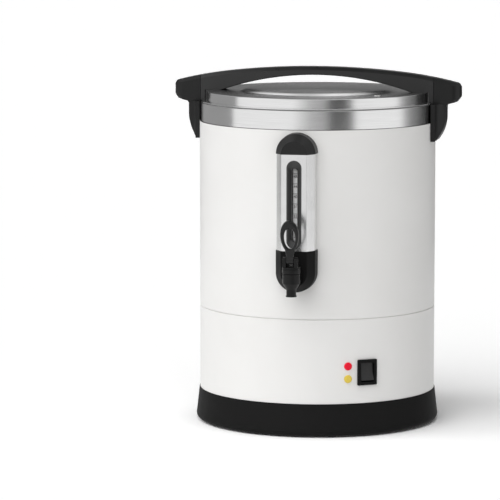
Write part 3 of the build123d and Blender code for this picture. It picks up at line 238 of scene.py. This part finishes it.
def put(tree, kind, inputs=None, **settings):
    """Adds a node, sets its options, and gives its inputs a number, a colour or another node's output."""
    added = tree.nodes.new(kind)
    for name, value in settings.items():
        setattr(added, name, value)
    for name, value in (inputs or {}).items():
        socket = added.inputs[name]
        if isinstance(value, bpy.types.NodeSocket):
            tree.links.new(value, socket)
        else:
            socket.default_value = value
    return added


def largest(tree, value, *others):
    """The largest of some values."""
    for other in others:
        value = put(tree, "ShaderNodeMath", {0: value, 1: other}, operation="MAXIMUM").outputs[0]
    return value


def spread_between(tree, value, low, high):
    """A number between two, by a 0 to 1 value."""
    return put(tree, "ShaderNodeMapRange", {"Value": value, "To Min": low, "To Max": high}).outputs[0]


def tinted(tree, value, dark, light):
    """A colour between two, by a 0 to 1 value."""
    mix = put(tree, "ShaderNodeMix", {0: value}, data_type="RGBA")
    mix.inputs[6].default_value = (*dark, 1)
    mix.inputs[7].default_value = (*light, 1)
    return mix.outputs[2]


def empty_material(name):
    material = bpy.data.materials.new(name)
    material.use_nodes = True
    material.node_tree.nodes.clear()
    return material, material.node_tree


# ---------------------------------------------------------------- studio

def link(thing):
    bpy.context.scene.collection.objects.link(thing)
    return thing


def set_camera():
    lens = bpy.data.cameras.new("camera")
    lens.sensor_width = camera_sensor
    lens.lens = camera_lens
    camera = link(bpy.data.objects.new("camera", lens))
    side = radians(camera_side)
    camera.location = (camera_distance * sin(side), -camera_distance * cos(side), camera_height)
    camera.rotation_euler = (radians(90 - camera_tilt), 0, radians(camera_side + camera_yaw))
    bpy.context.scene.camera = camera


def light_studio():
    """Gives the room a plain level of light and a white backdrop, and hangs the lamps."""
    bpy.context.scene.view_settings.view_transform = "Standard"
    world = bpy.data.worlds.new("studio")
    bpy.context.scene.world = world
    world.use_nodes = True
    tree = world.node_tree
    tree.nodes.clear()
    room = put(tree, "ShaderNodeBackground", {"Color": (1, 1, 1, 1), "Strength": ambient_light})
    backdrop = put(tree, "ShaderNodeBackground", {"Color": (1, 1, 1, 1), "Strength": 1.0})
    path = tree.nodes.new("ShaderNodeLightPath")
    seen = largest(tree, path.outputs["Is Camera Ray"], path.outputs["Is Glossy Ray"],
                   path.outputs["Is Transmission Ray"])
    mix = put(tree, "ShaderNodeMixShader", {0: seen, 1: room.outputs[0], 2: backdrop.outputs[0]})
    put(tree, "ShaderNodeOutputWorld", {"Surface": mix.outputs[0]})

    hang_lamp("key", *key_lamp)
    hang_lamp("side", *side_lamp)
    hang_lamp("fill", *fill_lamp)


def hang_lamp(name, strength, spread, side, height):
    """A far lamp that lights things and isn't mirrored in them."""
    lamp = bpy.data.lights.new(name, "SUN")
    lamp.energy = strength
    lamp.angle = radians(spread)
    towards = Vector((sin(radians(side)), -cos(radians(side)), tan(radians(height))))
    hung = link(bpy.data.objects.new(name, lamp))
    hung.rotation_euler = towards.to_track_quat("Z", "Y").to_euler()
    hung.visible_glossy = False


def show_to_reflections(name, mesh, shades):
    """Lights a studio surface by each corner's shade, and hides it from all but mirrored rays."""
    shade = mesh.attributes.new("shade", "FLOAT", "POINT")
    shade.data.foreach_set("value", shades)
    material, tree = empty_material(name)
    brightness = put(tree, "ShaderNodeAttribute", attribute_name="shade")
    glow = put(tree, "ShaderNodeEmission", {"Strength": brightness.outputs["Fac"]})
    put(tree, "ShaderNodeOutputMaterial", {"Surface": glow.outputs[0]})
    mesh.materials.append(material)
    surface = link(bpy.data.objects.new(name, mesh))
    surface.visible_camera = False
    surface.visible_diffuse = False
    surface.visible_shadow = False
    surface.visible_transmission = False


def stand_wall(name, shades, foot, head):
    """A round studio wall with dark and bright stretches for the steel to mirror."""
    points = []
    glow = []
    for (start, shade), (end, next_shade) in zip(shades, shades[1:]):
        steps = max(1, round((end - start) / wall_step))
        for step in range(steps):
            turn = radians(start + (end - start) * step / steps)
            spot = (wall_distance * sin(turn), -wall_distance * cos(turn))
            points += [(*spot, foot), (*spot, head)]
            glow += [shade + (next_shade - shade) * step / steps] * 2
    count = len(points)
    faces = [(i, (i + 2) % count, (i + 3) % count, i + 1) for i in range(0, count, 2)]
    mesh = bpy.data.meshes.new(name)
    mesh.from_pydata(points, [], faces)
    show_to_reflections(name, mesh, glow)


def hang_ceiling():
    """A studio ceiling for the lid and the handles to mirror: dim overhead, bright towards the wall."""
    points = [(0, 0, wall_height)]
    glow = [ceiling_shades[0][1]]
    for radius, shade in ceiling_shades:
        for step in range(ceiling_steps):
            turn = 2 * pi * step / ceiling_steps
            points.append((radius * cos(turn), radius * sin(turn), wall_height))
            glow.append(shade)
    faces = [(0, 1 + step, 1 + (step + 1) % ceiling_steps) for step in range(ceiling_steps)]
    for ring in range(len(ceiling_shades) - 1):
        inner = 1 + ring * ceiling_steps
        outer = inner + ceiling_steps
        for step in range(ceiling_steps):
            after = (step + 1) % ceiling_steps
            faces.append((inner + step, outer + step, outer + after, inner + after))
    mesh = bpy.data.meshes.new("studio_ceiling")
    mesh.from_pydata(points, [], faces)
    show_to_reflections("studio_ceiling", mesh, glow)


def lay_floor():
    """A white floor that keeps the urn's shadow, and that mirrored rays see as plain white."""
    corners = [(x * floor_reach, y * floor_reach, 0) for x, y in ((-1, -1), (1, -1), (1, 1), (-1, 1))]
    mesh = bpy.data.meshes.new("floor")
    mesh.from_pydata(corners, [], [(0, 1, 2, 3)])
    material, tree = empty_material("floor")
    path = tree.nodes.new("ShaderNodeLightPath")
    paint = spread_between(tree, path.outputs["Is Camera Ray"], floor_shade, floor_seen)
    matt = put(tree, "ShaderNodeBsdfDiffuse", {"Color": paint})
    glow = put(tree, "ShaderNodeEmission", {"Strength": 1.0})
    mirrored = largest(tree, path.outputs["Is Glossy Ray"], path.outputs["Is Transmission Ray"])
    mix = put(tree, "ShaderNodeMixShader", {0: mirrored, 1: matt.outputs[0], 2: glow.outputs[0]})
    put(tree, "ShaderNodeOutputMaterial", {"Surface": mix.outputs[0]})
    mesh.materials.append(material)
    link(bpy.data.objects.new("floor", mesh))


# ---------------------------------------------------------------- effects

def effect(name, inputs, outputs):
    """An empty effect group with number inputs, and its input and output nodes."""
    group = bpy.data.node_groups.new(name, "ShaderNodeTree")
    for label, default in inputs.items():
        socket = group.interface.new_socket(label, in_out="INPUT", socket_type="NodeSocketFloat")
        socket.default_value = default
    for label, kind in outputs.items():
        group.interface.new_socket(label, in_out="OUTPUT", socket_type="NodeSocket" + kind)
    return group, group.nodes.new("NodeGroupInput"), group.nodes.new("NodeGroupOutput")


def turned_brushing():
    """Fine lines round the urn's axis, as left by a belt on a turning drum."""
    group, given, result = effect(
        "turned_brushing",
        {"Lines per metre": 2600.0, "Line length": 3.0, "Depth": 0.1},
        {"Lines": "Float", "Normal": "Vector"},
    )
    place = group.nodes.new("ShaderNodeTexCoord")
    parts = put(group, "ShaderNodeSeparateXYZ", {0: place.outputs["Object"]})
    flat = put(group, "ShaderNodeCombineXYZ", {"X": parts.outputs["X"], "Y": parts.outputs["Y"]})
    radius = put(group, "ShaderNodeVectorMath", {0: flat.outputs[0]}, operation="LENGTH")
    around = put(group, "ShaderNodeVectorMath", {0: flat.outputs[0]}, operation="NORMALIZE")
    stretched = put(group, "ShaderNodeVectorMath",
                    {0: around.outputs[0], "Scale": given.outputs["Line length"]},
                    operation="SCALE")
    across = put(group, "ShaderNodeMath",
                 {0: parts.outputs["Z"], 1: radius.outputs["Value"]},
                 operation="ADD")
    rows = put(group, "ShaderNodeMath",
               {0: across.outputs[0], 1: given.outputs["Lines per metre"]},
               operation="MULTIPLY")
    lifted = put(group, "ShaderNodeCombineXYZ", {"Z": rows.outputs[0]})
    spot = put(group, "ShaderNodeVectorMath",
               {0: stretched.outputs[0], 1: lifted.outputs[0]},
               operation="ADD")
    fine = put(group, "ShaderNodeTexNoise",
               {"Vector": spot.outputs[0], "Scale": 1.0, "Detail": 3.0, "Roughness": 0.65})
    bump = put(group, "ShaderNodeBump",
               {"Strength": given.outputs["Depth"], "Distance": 0.05 * mm, "Height": fine.outputs[0]})
    group.links.new(fine.outputs[0], result.inputs["Lines"])
    group.links.new(bump.outputs[0], result.inputs["Normal"])
    return group


def fine_grain():
    """The dull sparkle of a spark-eroded mould, or the soft ripple of a powder coat, by its size."""
    group, given, result = effect(
        "fine_grain",
        {"Grain per metre": 1500.0, "Depth": 0.2},
        {"Grain": "Float", "Normal": "Vector"},
    )
    place = group.nodes.new("ShaderNodeTexCoord")
    noise = put(group, "ShaderNodeTexNoise",
                {"Vector": place.outputs["Object"], "Scale": given.outputs["Grain per metre"],
                 "Detail": 2.0, "Roughness": 0.55})
    bump = put(group, "ShaderNodeBump",
               {"Strength": given.outputs["Depth"], "Distance": 0.1 * mm, "Height": noise.outputs[0]})
    group.links.new(noise.outputs[0], result.inputs["Grain"])
    group.links.new(bump.outputs[0], result.inputs["Normal"])
    return group


def handling_marks():
    """Broad faint patches where hands and cloths have passed, from 0 to 1."""
    group, given, result = effect("handling_marks", {"Patches per metre": 18.0}, {"Marks": "Float"})
    place = group.nodes.new("ShaderNodeTexCoord")
    noise = put(group, "ShaderNodeTexNoise",
                {"Vector": place.outputs["Object"], "Scale": given.outputs["Patches per metre"],
                 "Detail": 4.0, "Roughness": 0.6, "Distortion": 0.6})
    spread = put(group, "ShaderNodeMapRange", {"Value": noise.outputs[0], "From Min": 0.35, "From Max": 0.68})
    group.links.new(spread.outputs[0], result.inputs["Marks"])
    return group


def use(tree, group, **values):
    """Places an effect group in a material, with its own values."""
    placed = tree.nodes.new("ShaderNodeGroup")
    placed.node_tree = group
    for label, value in values.items():
        placed.inputs[label.replace("_", " ").capitalize()].default_value = value
    return placed


# ---------------------------------------------------------------- materials

def blank(name, **constants):
    """A material with one Principled shader, and that shader's plain numbers."""
    material = bpy.data.materials.new(name)
    material.use_nodes = True
    shader = material.node_tree.nodes["Principled BSDF"]
    for label, value in constants.items():
        shader.inputs[label.replace("_", " ")].default_value = value
    return material, material.node_tree, shader


def feed(tree, shader, **sources):
    for label, source in sources.items():
        tree.links.new(source, shader.inputs[label.replace("_", " ")])


def painted_shell(grain, marks):
    material, tree, shader = blank("white_paint", Specular_IOR_Level=0.35)
    peel = use(tree, grain, grain_per_metre=420.0, depth=0.05)
    touched = use(tree, marks, patches_per_metre=9.0)
    feed(tree, shader,
         Base_Color=tinted(tree, touched.outputs["Marks"], (0.845, 0.838, 0.822), (0.865, 0.859, 0.846)),
         Roughness=spread_between(tree, touched.outputs["Marks"], 0.36, 0.44),
         Normal=peel.outputs["Normal"])
    return material


def turned_steel(name, brushing, marks, shade, roughness, depth):
    """Steel brushed round the urn's axis, a little darker in its lines and lighter between them."""
    material, tree, shader = blank(name, Metallic=1.0, Anisotropic=0.6, Anisotropic_Rotation=0.25)
    lines = use(tree, brushing, depth=depth)
    touched = use(tree, marks, patches_per_metre=14.0)
    around = put(tree, "ShaderNodeTangent", direction_type="RADIAL", axis="Z")
    dark = (shade * 0.86,) * 3
    light = (min(shade * 1.1, 0.95),) * 3
    feed(tree, shader,
         Base_Color=tinted(tree, lines.outputs["Lines"], dark, light),
         Roughness=spread_between(tree, touched.outputs["Marks"], roughness, roughness + steel_wear),
         Normal=lines.outputs["Normal"],
         Tangent=around.outputs[0])
    return material


def rolled_steel(name, marks, shade, roughness, colour=(1.0, 1.0, 1.0)):
    """Plain metal, a little lighter and duller where it was touched."""
    material, tree, shader = blank(name, Metallic=1.0)
    touched = use(tree, marks, patches_per_metre=40.0)
    dark = [shade * part for part in colour]
    light = [shade * 1.06 * part for part in colour]
    feed(tree, shader,
         Base_Color=tinted(tree, touched.outputs["Marks"], dark, light),
         Roughness=spread_between(tree, touched.outputs["Marks"], roughness, roughness + steel_wear))
    return material


def moulded(name, grain, marks, dark, light, roughness, specular, skin=mould_skin):
    """Plastic, rubber or ink with a fine grain, a little duller where it was touched."""
    material, tree, shader = blank(name, Specular_IOR_Level=specular)
    size, depth = skin
    surface = use(tree, grain, grain_per_metre=size, depth=depth)
    touched = use(tree, marks, patches_per_metre=26.0)
    feed(tree, shader,
         Base_Color=tinted(tree, surface.outputs["Grain"], dark, light),
         Roughness=spread_between(tree, touched.outputs["Marks"], roughness, roughness + mould_wear),
         Normal=surface.outputs["Normal"])
    return material


def sight_glass(marks):
    """Clear glass that lets light and shadow through to the scale behind it."""
    material, tree, shader = blank("clear_glass", Transmission_Weight=1.0, IOR=1.12)
    touched = use(tree, marks, patches_per_metre=60.0)
    feed(tree, shader,
         Base_Color=tinted(tree, touched.outputs["Marks"], (0.99, 0.99, 0.99), (1.0, 1.0, 1.0)),
         Roughness=spread_between(tree, touched.outputs["Marks"], 0.0, 0.02))
    path = tree.nodes.new("ShaderNodeLightPath")
    clear = put(tree, "ShaderNodeBsdfTransparent", {"Color": (1.0, 1.0, 1.0, 1)})
    passing = largest(tree, path.outputs["Is Shadow Ray"], path.outputs["Is Diffuse Ray"])
    mix = put(tree, "ShaderNodeMixShader", {0: passing, 1: shader.outputs[0], 2: clear.outputs[0]})
    tree.links.new(mix.outputs[0], tree.nodes["Material Output"].inputs["Surface"])
    return material


def lamp_lens(name, deep, bright, marks):
    """A clear coloured lens with painted glints: each little facet's colour is lighter towards its middle, as
    light gathers there.
    """
    material, tree, shader = blank(name, Specular_IOR_Level=0.25, Emission_Strength=0.35)
    # painted glints: the lens colour is lighter towards the middle of each small facet
    glints = put(tree, "ShaderNodeTexVoronoi", {"Scale": 900.0}, feature="F1")
    shade = put(tree, "ShaderNodeMapRange", {"Value": glints.outputs["Distance"], "From Max": 0.7})
    colour = tinted(tree, shade.outputs[0], bright, deep)
    touched = use(tree, marks, patches_per_metre=60.0)
    feed(tree, shader, Base_Color=colour, Emission_Color=colour,
         Roughness=spread_between(tree, touched.outputs["Marks"], 0.2, 0.3))
    return material


def make_materials():
    brushing = turned_brushing()
    grain = fine_grain()
    marks = handling_marks()
    made = {
        "white_paint": painted_shell(grain, marks),
        "brushed_steel": turned_steel("brushed_steel", brushing, marks, 0.78, 0.19, 0.08),
        "basket_steel": turned_steel("basket_steel", brushing, marks, 0.74, 0.34, 0.06),
        "polished_steel": rolled_steel("polished_steel", marks, 0.79, 0.22),
        "hardware_steel": rolled_steel("hardware_steel", marks, 0.62, 0.32, (1.0, 0.99, 0.97)),
        # painted shade: steel darkened so that the tap's stem comes out as dark as it looks in the shadow
        # under the lever
        "stem_steel_painted_shade": rolled_steel("stem_steel_painted_shade", marks, 0.2, 0.3),
        "cast_aluminium": rolled_steel("cast_aluminium", marks, 0.6, 0.5),
        "heater_sheath": rolled_steel("heater_sheath", marks, 0.34, 0.42, (1.0, 0.96, 0.9)),
        "clear_glass": sight_glass(marks),
        "lamp_red": lamp_lens("lamp_red", (0.55, 0.0, 0.015), (0.78, 0.0, 0.025), marks),
        "lamp_yellow": lamp_lens("lamp_yellow", (0.5, 0.37, 0.05), (0.74, 0.58, 0.1), marks),
        "scale_white": moulded(
            "scale_white", grain, marks, (0.94, 0.94, 0.935), (0.98, 0.98, 0.975), 0.45, 0.4),
        "pale_silicone": moulded(
            "pale_silicone", grain, marks, (0.6, 0.6, 0.57), (0.7, 0.7, 0.68), 0.5, 0.4),
        "control_brown": moulded(
            "control_brown", grain, marks, (0.1, 0.05, 0.025), (0.13, 0.065, 0.035), 0.45, 0.4),
    }
    for table, skin in ((grey_mouldings, mould_skin), (rubbers, rubber_skin)):
        for name, (dark, light, roughness, specular) in table.items():
            made[name] = moulded(name, grain, marks, (dark,) * 3, (light,) * 3, roughness, specular, skin)
    return made


def dress_solids(materials):
    """Gives each node the material of its slot, or its lighter or darker copy that paints in its light and
    shade.
    """
    slots = {entry["node"]: entry["material_slot"] for entry in frame["record"]["subparts"]}
    for name, piece in frame["nodes"].items():
        piece.data.materials.clear()
        piece.data.materials.append(materials[shade_matched_finish.get(name, slots[name])])


# ---------------------------------------------------------------- shaping

def round_edges(piece, width):
    """Rounds a piece's sharp edges a little, so that they catch light as real ones do."""
    bevel = piece.modifiers.new("bevel", "BEVEL")
    bevel.width = width
    bevel.segments = 2
    bevel.limit_method = "ANGLE"
    bevel.angle_limit = radians(sharp_edge)
    bevel.miter_outer = "MITER_ARC"
    shade = piece.modifiers.new("shade", "WEIGHTED_NORMAL")
    shade.keep_sharp = False
    shade.weight = 50
    piece.data.shade_smooth()


def ease_solid(node, width):
    """Joins a CAD node's facets back into whole faces, then rounds its edges."""
    piece = frame["nodes"][node]
    weld = piece.modifiers.new("weld", "WELD")
    weld.merge_threshold = 0.001 * mm
    flatten = piece.modifiers.new("flatten", "DECIMATE")
    flatten.decimate_type = "DISSOLVE"
    flatten.angle_limit = radians(flat_facets)
    round_edges(piece, width)


def finish_piece(name, shape, body, material, edge=0.0):
    """Makes a piece of a bmesh, on the body that carries it."""
    bmesh.ops.recalc_face_normals(shape, faces=shape.faces)
    mesh = bpy.data.meshes.new(name)
    shape.to_mesh(mesh)
    shape.free()
    mesh.materials.append(material)
    piece = link(bpy.data.objects.new(name, mesh))
    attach(piece, body)
    if edge:
        round_edges(piece, edge * mm)
    return piece


def join_rings(shape, rings, closed):
    """Skins rings of points, each to the next, and caps the two ends of an open row."""
    pairs = list(zip(rings, rings[1:]))
    if closed:
        pairs.append((rings[-1], rings[0]))
    else:
        shape.faces.new(rings[0])
        shape.faces.new(rings[-1])
    count = len(rings[0])
    for ring, after in pairs:
        for i in range(count):
            j = (i + 1) % count
            shape.faces.new((ring[i], ring[j], after[j], after[i]))


def turned(shape, outline, place, steps):
    """Turns a closed outline of (radius, height) points round an axis; place puts it in the urn."""
    rings = []
    for step in range(steps):
        turn = 2 * pi * step / steps
        rings.append([shape.verts.new(place(r * cos(turn), r * sin(turn), height)) for r, height in outline])
    join_rings(shape, rings, closed=True)


def slab(shape, outline, place, near, far):
    """Gives a closed flat outline a thickness, from near to far along its third direction."""
    rings = [[shape.verts.new(place(u, v, side)) for u, v in outline] for side in (near, far)]
    join_rings(shape, rings, closed=False)


def in_metres(outline):
    return [(first * mm, second * mm) for first, second in outline]


def both_sides(inside, outside):
    """The near and far faces of a pair of plates, one on each side of the middle."""
    return ((-outside, -inside), (inside, outside))


def upright(x, y):
    """Places round an upright axis."""
    return lambda a, b, height: (x + a, y + b, height)


def beside_pivot(y, z, x):
    """A place measured back from the lever's pivot, up from it, and along its pin."""
    return (pivot_spot[0] + x, pivot_spot[1] + y, pivot_spot[2] + z)


def along_lever(x, up, out):
    """A place measured across the leaning lever, up it from the pivot, and out towards the user."""
    lean = radians(lever_lean)
    return (
        pivot_spot[0] + x,
        pivot_spot[1] - up * sin(lean) - out * cos(lean),
        pivot_spot[2] + up * cos(lean) - out * sin(lean),
    )


def in_socket(x, z, y):
    """A place measured across the mains inlet, up from its middle, and back from the urn's axis."""
    return (x, y, inlet_height + z)


def soft_section(half_width, half_thickness, squareness):
    """Points of a rounded bar's section."""
    points = []
    for corner in range(section_corners):
        turn = 2 * pi * (corner + 0.5) / section_corners
        across, through = cos(turn), sin(turn)
        points.append((
            half_width * copysign(abs(across) ** squareness, across),
            half_thickness * copysign(abs(through) ** squareness, through),
        ))
    return points


def slot_ring(shape, half_width, half_length, middle, depth):
    """A row of points round a slot's edge; depth gives how far back each lies, by its place across."""
    ring = []
    straight = half_length - half_width
    for end in (1, -1):
        for step in range(window_steps + 1):
            turn = pi * step / window_steps
            x = end * half_width * cos(turn)
            z = middle + end * (straight + half_width * sin(turn))
            ring.append(shape.verts.new((x, depth(x), z)))
    return ring


# ---------------------------------------------------------------- pieces

def loop_edge(edge, turn):
    """A point of the lever loop's outside or inside, by the turn from its crown."""
    half_width, middle, half_height = edge
    egg = 1 + loop_egg * cos(turn)
    return Vector((half_width * egg * sin(turn), middle + half_height * cos(turn))) * mm


def mould_lever(material):
    """The tap's lever: an egg-shaped finger loop, thick at its crown, on a neck, a hub and a fork."""
    shape = bmesh.new()
    loop = []
    for step in range(loop_steps):
        turn = 2 * pi * step / loop_steps
        outside = loop_edge(loop_outside, turn)
        inside = loop_edge(loop_inside, turn)
        middle = (outside + inside) / 2
        reach = (outside - inside) / 2
        loop.append([
            shape.verts.new(along_lever(*(middle + reach * a), b))
            for a, b in soft_section(1.0, lever_half_depth * mm, loop_squareness)
        ])
    join_rings(shape, loop, closed=True)
    neck = []
    for up, half_width, half_depth in neck_sections:
        neck.append([
            shape.verts.new(along_lever(a, up * mm, b))
            for a, b in soft_section(half_width * mm, half_depth * mm, neck_squareness)
        ])
    join_rings(shape, neck, closed=False)
    hub = [
        (hub_bore, -hub_half), (hub_radius - hub_round, -hub_half), (hub_radius, hub_round - hub_half),
        (hub_radius, hub_half - hub_round), (hub_radius - hub_round, hub_half), (hub_bore, hub_half),
    ]
    turned(shape, in_metres(hub), beside_pivot, hub_steps)
    fork = [
        (0, -fork_half), (fork_reach, -fork_half), (fork_reach, -fork_slot_half),
        (fork_slot_start, -fork_slot_half), (fork_slot_start, fork_slot_half),
        (fork_reach, fork_slot_half), (fork_reach, fork_half), (0, fork_half),
    ]
    for near, far in both_sides(fork_inside, hub_half):
        slab(shape, in_metres(fork), beside_pivot, near * mm, far * mm)
    lever = finish_piece("lever", shape, "tap_lever", material, moulded_edge)
    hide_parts("tap_lever")


def mould_bonnet(material):
    """The tap's screw-on bonnet, with a grip groove under its lip and two ears for the lever's pin."""
    shape = bmesh.new()
    foot, top = bonnet_foot / mm, bonnet_top / mm
    lip, groove_top, groove_bottom, lower_lip = (top - drop for drop in groove_drops)
    groove_radius = bonnet_radius - groove_depth
    crown_middle = bonnet_crown_round / 3
    outline = [
        (stem_hole, foot + bonnet_roof), (bonnet_bore, foot + bonnet_roof), (bonnet_bore, foot),
        (bonnet_bore + bonnet_foot_width, foot), (bonnet_radius, foot + bonnet_foot_slope),
        (bonnet_radius, lower_lip), (groove_radius, groove_bottom), (groove_radius, groove_top),
        (bonnet_radius, lip), (bonnet_radius, top - bonnet_crown_round),
        (bonnet_radius - crown_middle, top - crown_middle), (bonnet_radius - bonnet_crown_round, top),
        (stem_hole, top),
    ]
    turned(shape, in_metres(outline), upright(0, tap_axis), bonnet_steps)
    ear = [(ear_front, ear_foot), (ear_back, ear_foot), (ear_back, ear_shoulder)]
    ear += [(ear_radius * cos(radians(turn)), ear_radius * sin(radians(turn))) for turn in ear_arc]
    for near, far in both_sides(ear_inside, ear_outside):
        slab(shape, in_metres(ear), beside_pivot, near * mm, far * mm)
    bonnet = finish_piece("bonnet", shape, "body", material, moulded_edge)
    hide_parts("tap_bonnet")


def lay_bead(material):
    """A thin dark bead where the painted shell ends at the rim band: painted shade for the shadow line there.
    """
    shape = bmesh.new()
    outline = [
        (bead_inside, 0.0), (bead_outside, 0.0), (bead_outside, bead_side),
        (bead_outside - bead_slope, bead_height), (bead_inside, bead_height),
    ]
    turned(shape, [(r, paint_top + z) for r, z in in_metres(outline)], upright(0, 0), bead_steps)
    finish_piece("paint_edge_shadow_ring", shape, "body", material)


def mould_surround(material):
    """The dished lip inside the gauge's slot, which narrows to the glass and follows its round."""
    shape = bmesh.new()
    low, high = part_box("gauge_frame")
    front = low[1]
    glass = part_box("gauge_glass")
    glass_axis = (glass[0][1] + glass[1][1]) / 2
    middle = (low[2] + high[2]) / 2
    outer = bezel_half - bezel_width
    length = (high[2] - low[2]) / 2 - flange_reach - bezel_width
    rings = [
        slot_ring(shape, outer, length, middle, lambda x: front + lip_front * mm),
        slot_ring(shape, window_half * mm, window_half_length * mm, middle - window_drop * mm,
                  lambda x: glass_axis - ((glass_round * mm) ** 2 - x * x) ** 0.5),
        slot_ring(shape, outer, length, middle, lambda x: front + lip_back * mm),
    ]
    join_rings(shape, rings, closed=True)
    finish_piece("gauge_surround", shape, "body", material)


def print_scale(material):
    """Lines and cup numbers on the gauge strip."""
    shape = bmesh.new()
    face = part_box("gauge_scale")[0][1] - print_lift * mm
    corners = ((-line_half, 0), (line_half, 0), (line_half, line_height), (-line_half, line_height))
    upended = Matrix.Rotation(radians(90), 4, "X")
    for row, cups in enumerate(scale_cups):
        line = first_line - row * four_cups
        shape.faces.new([shape.verts.new((x * mm, face, line + z * mm)) for x, z in corners])
        words = bpy.data.curves.new("number", "FONT")
        words.body = str(cups)
        words.size = number_size * mm
        words.align_x = "CENTER"
        words.align_y = "TOP"
        words.offset = number_boldness * mm
        holder = link(bpy.data.objects.new("number", words))
        flat = bpy.data.meshes.new_from_object(holder.evaluated_get(bpy.context.evaluated_depsgraph_get()))
        flat.transform(Matrix.Translation((0, face, line - number_drop * mm)) @ upended)
        shape.from_mesh(flat)
        bpy.data.objects.remove(holder)
        bpy.data.curves.remove(words)
        bpy.data.meshes.remove(flat)
    finish_piece("scale_print", shape, "body", material)


def set_inlet_pins(material):
    """The mains inlet's three blades, in their socket."""
    shape = bmesh.new()
    for x, z in pin_spots:
        blade = [
            (x - pin_half_width, z - pin_half_height), (x + pin_half_width, z - pin_half_height),
            (x + pin_half_width, z + pin_half_height), (x - pin_half_width, z + pin_half_height),
        ]
        slab(shape, in_metres(blade), in_socket, pin_back, pin_front)
    finish_piece("inlet_pins", shape, "body", material, pin_edge)


materials = make_materials()
set_camera()
light_studio()
lay_floor()
stand_wall("studio_dado", dado_shades, wall_foot, wall_seam)
stand_wall("studio_wall", upper_shades, wall_seam, wall_height)
hang_ceiling()
dress_solids(materials)
for node, width in eased.items():
    ease_solid(node, width * mm)
mould_lever(materials["lever_plastic"])
mould_bonnet(materials["tap_plastic"])
lay_bead(materials["black_rubber"])
mould_surround(materials["frame_plastic_painted_light"])
print_scale(materials["scale_ink"])
set_inlet_pins(materials["hardware_steel"])
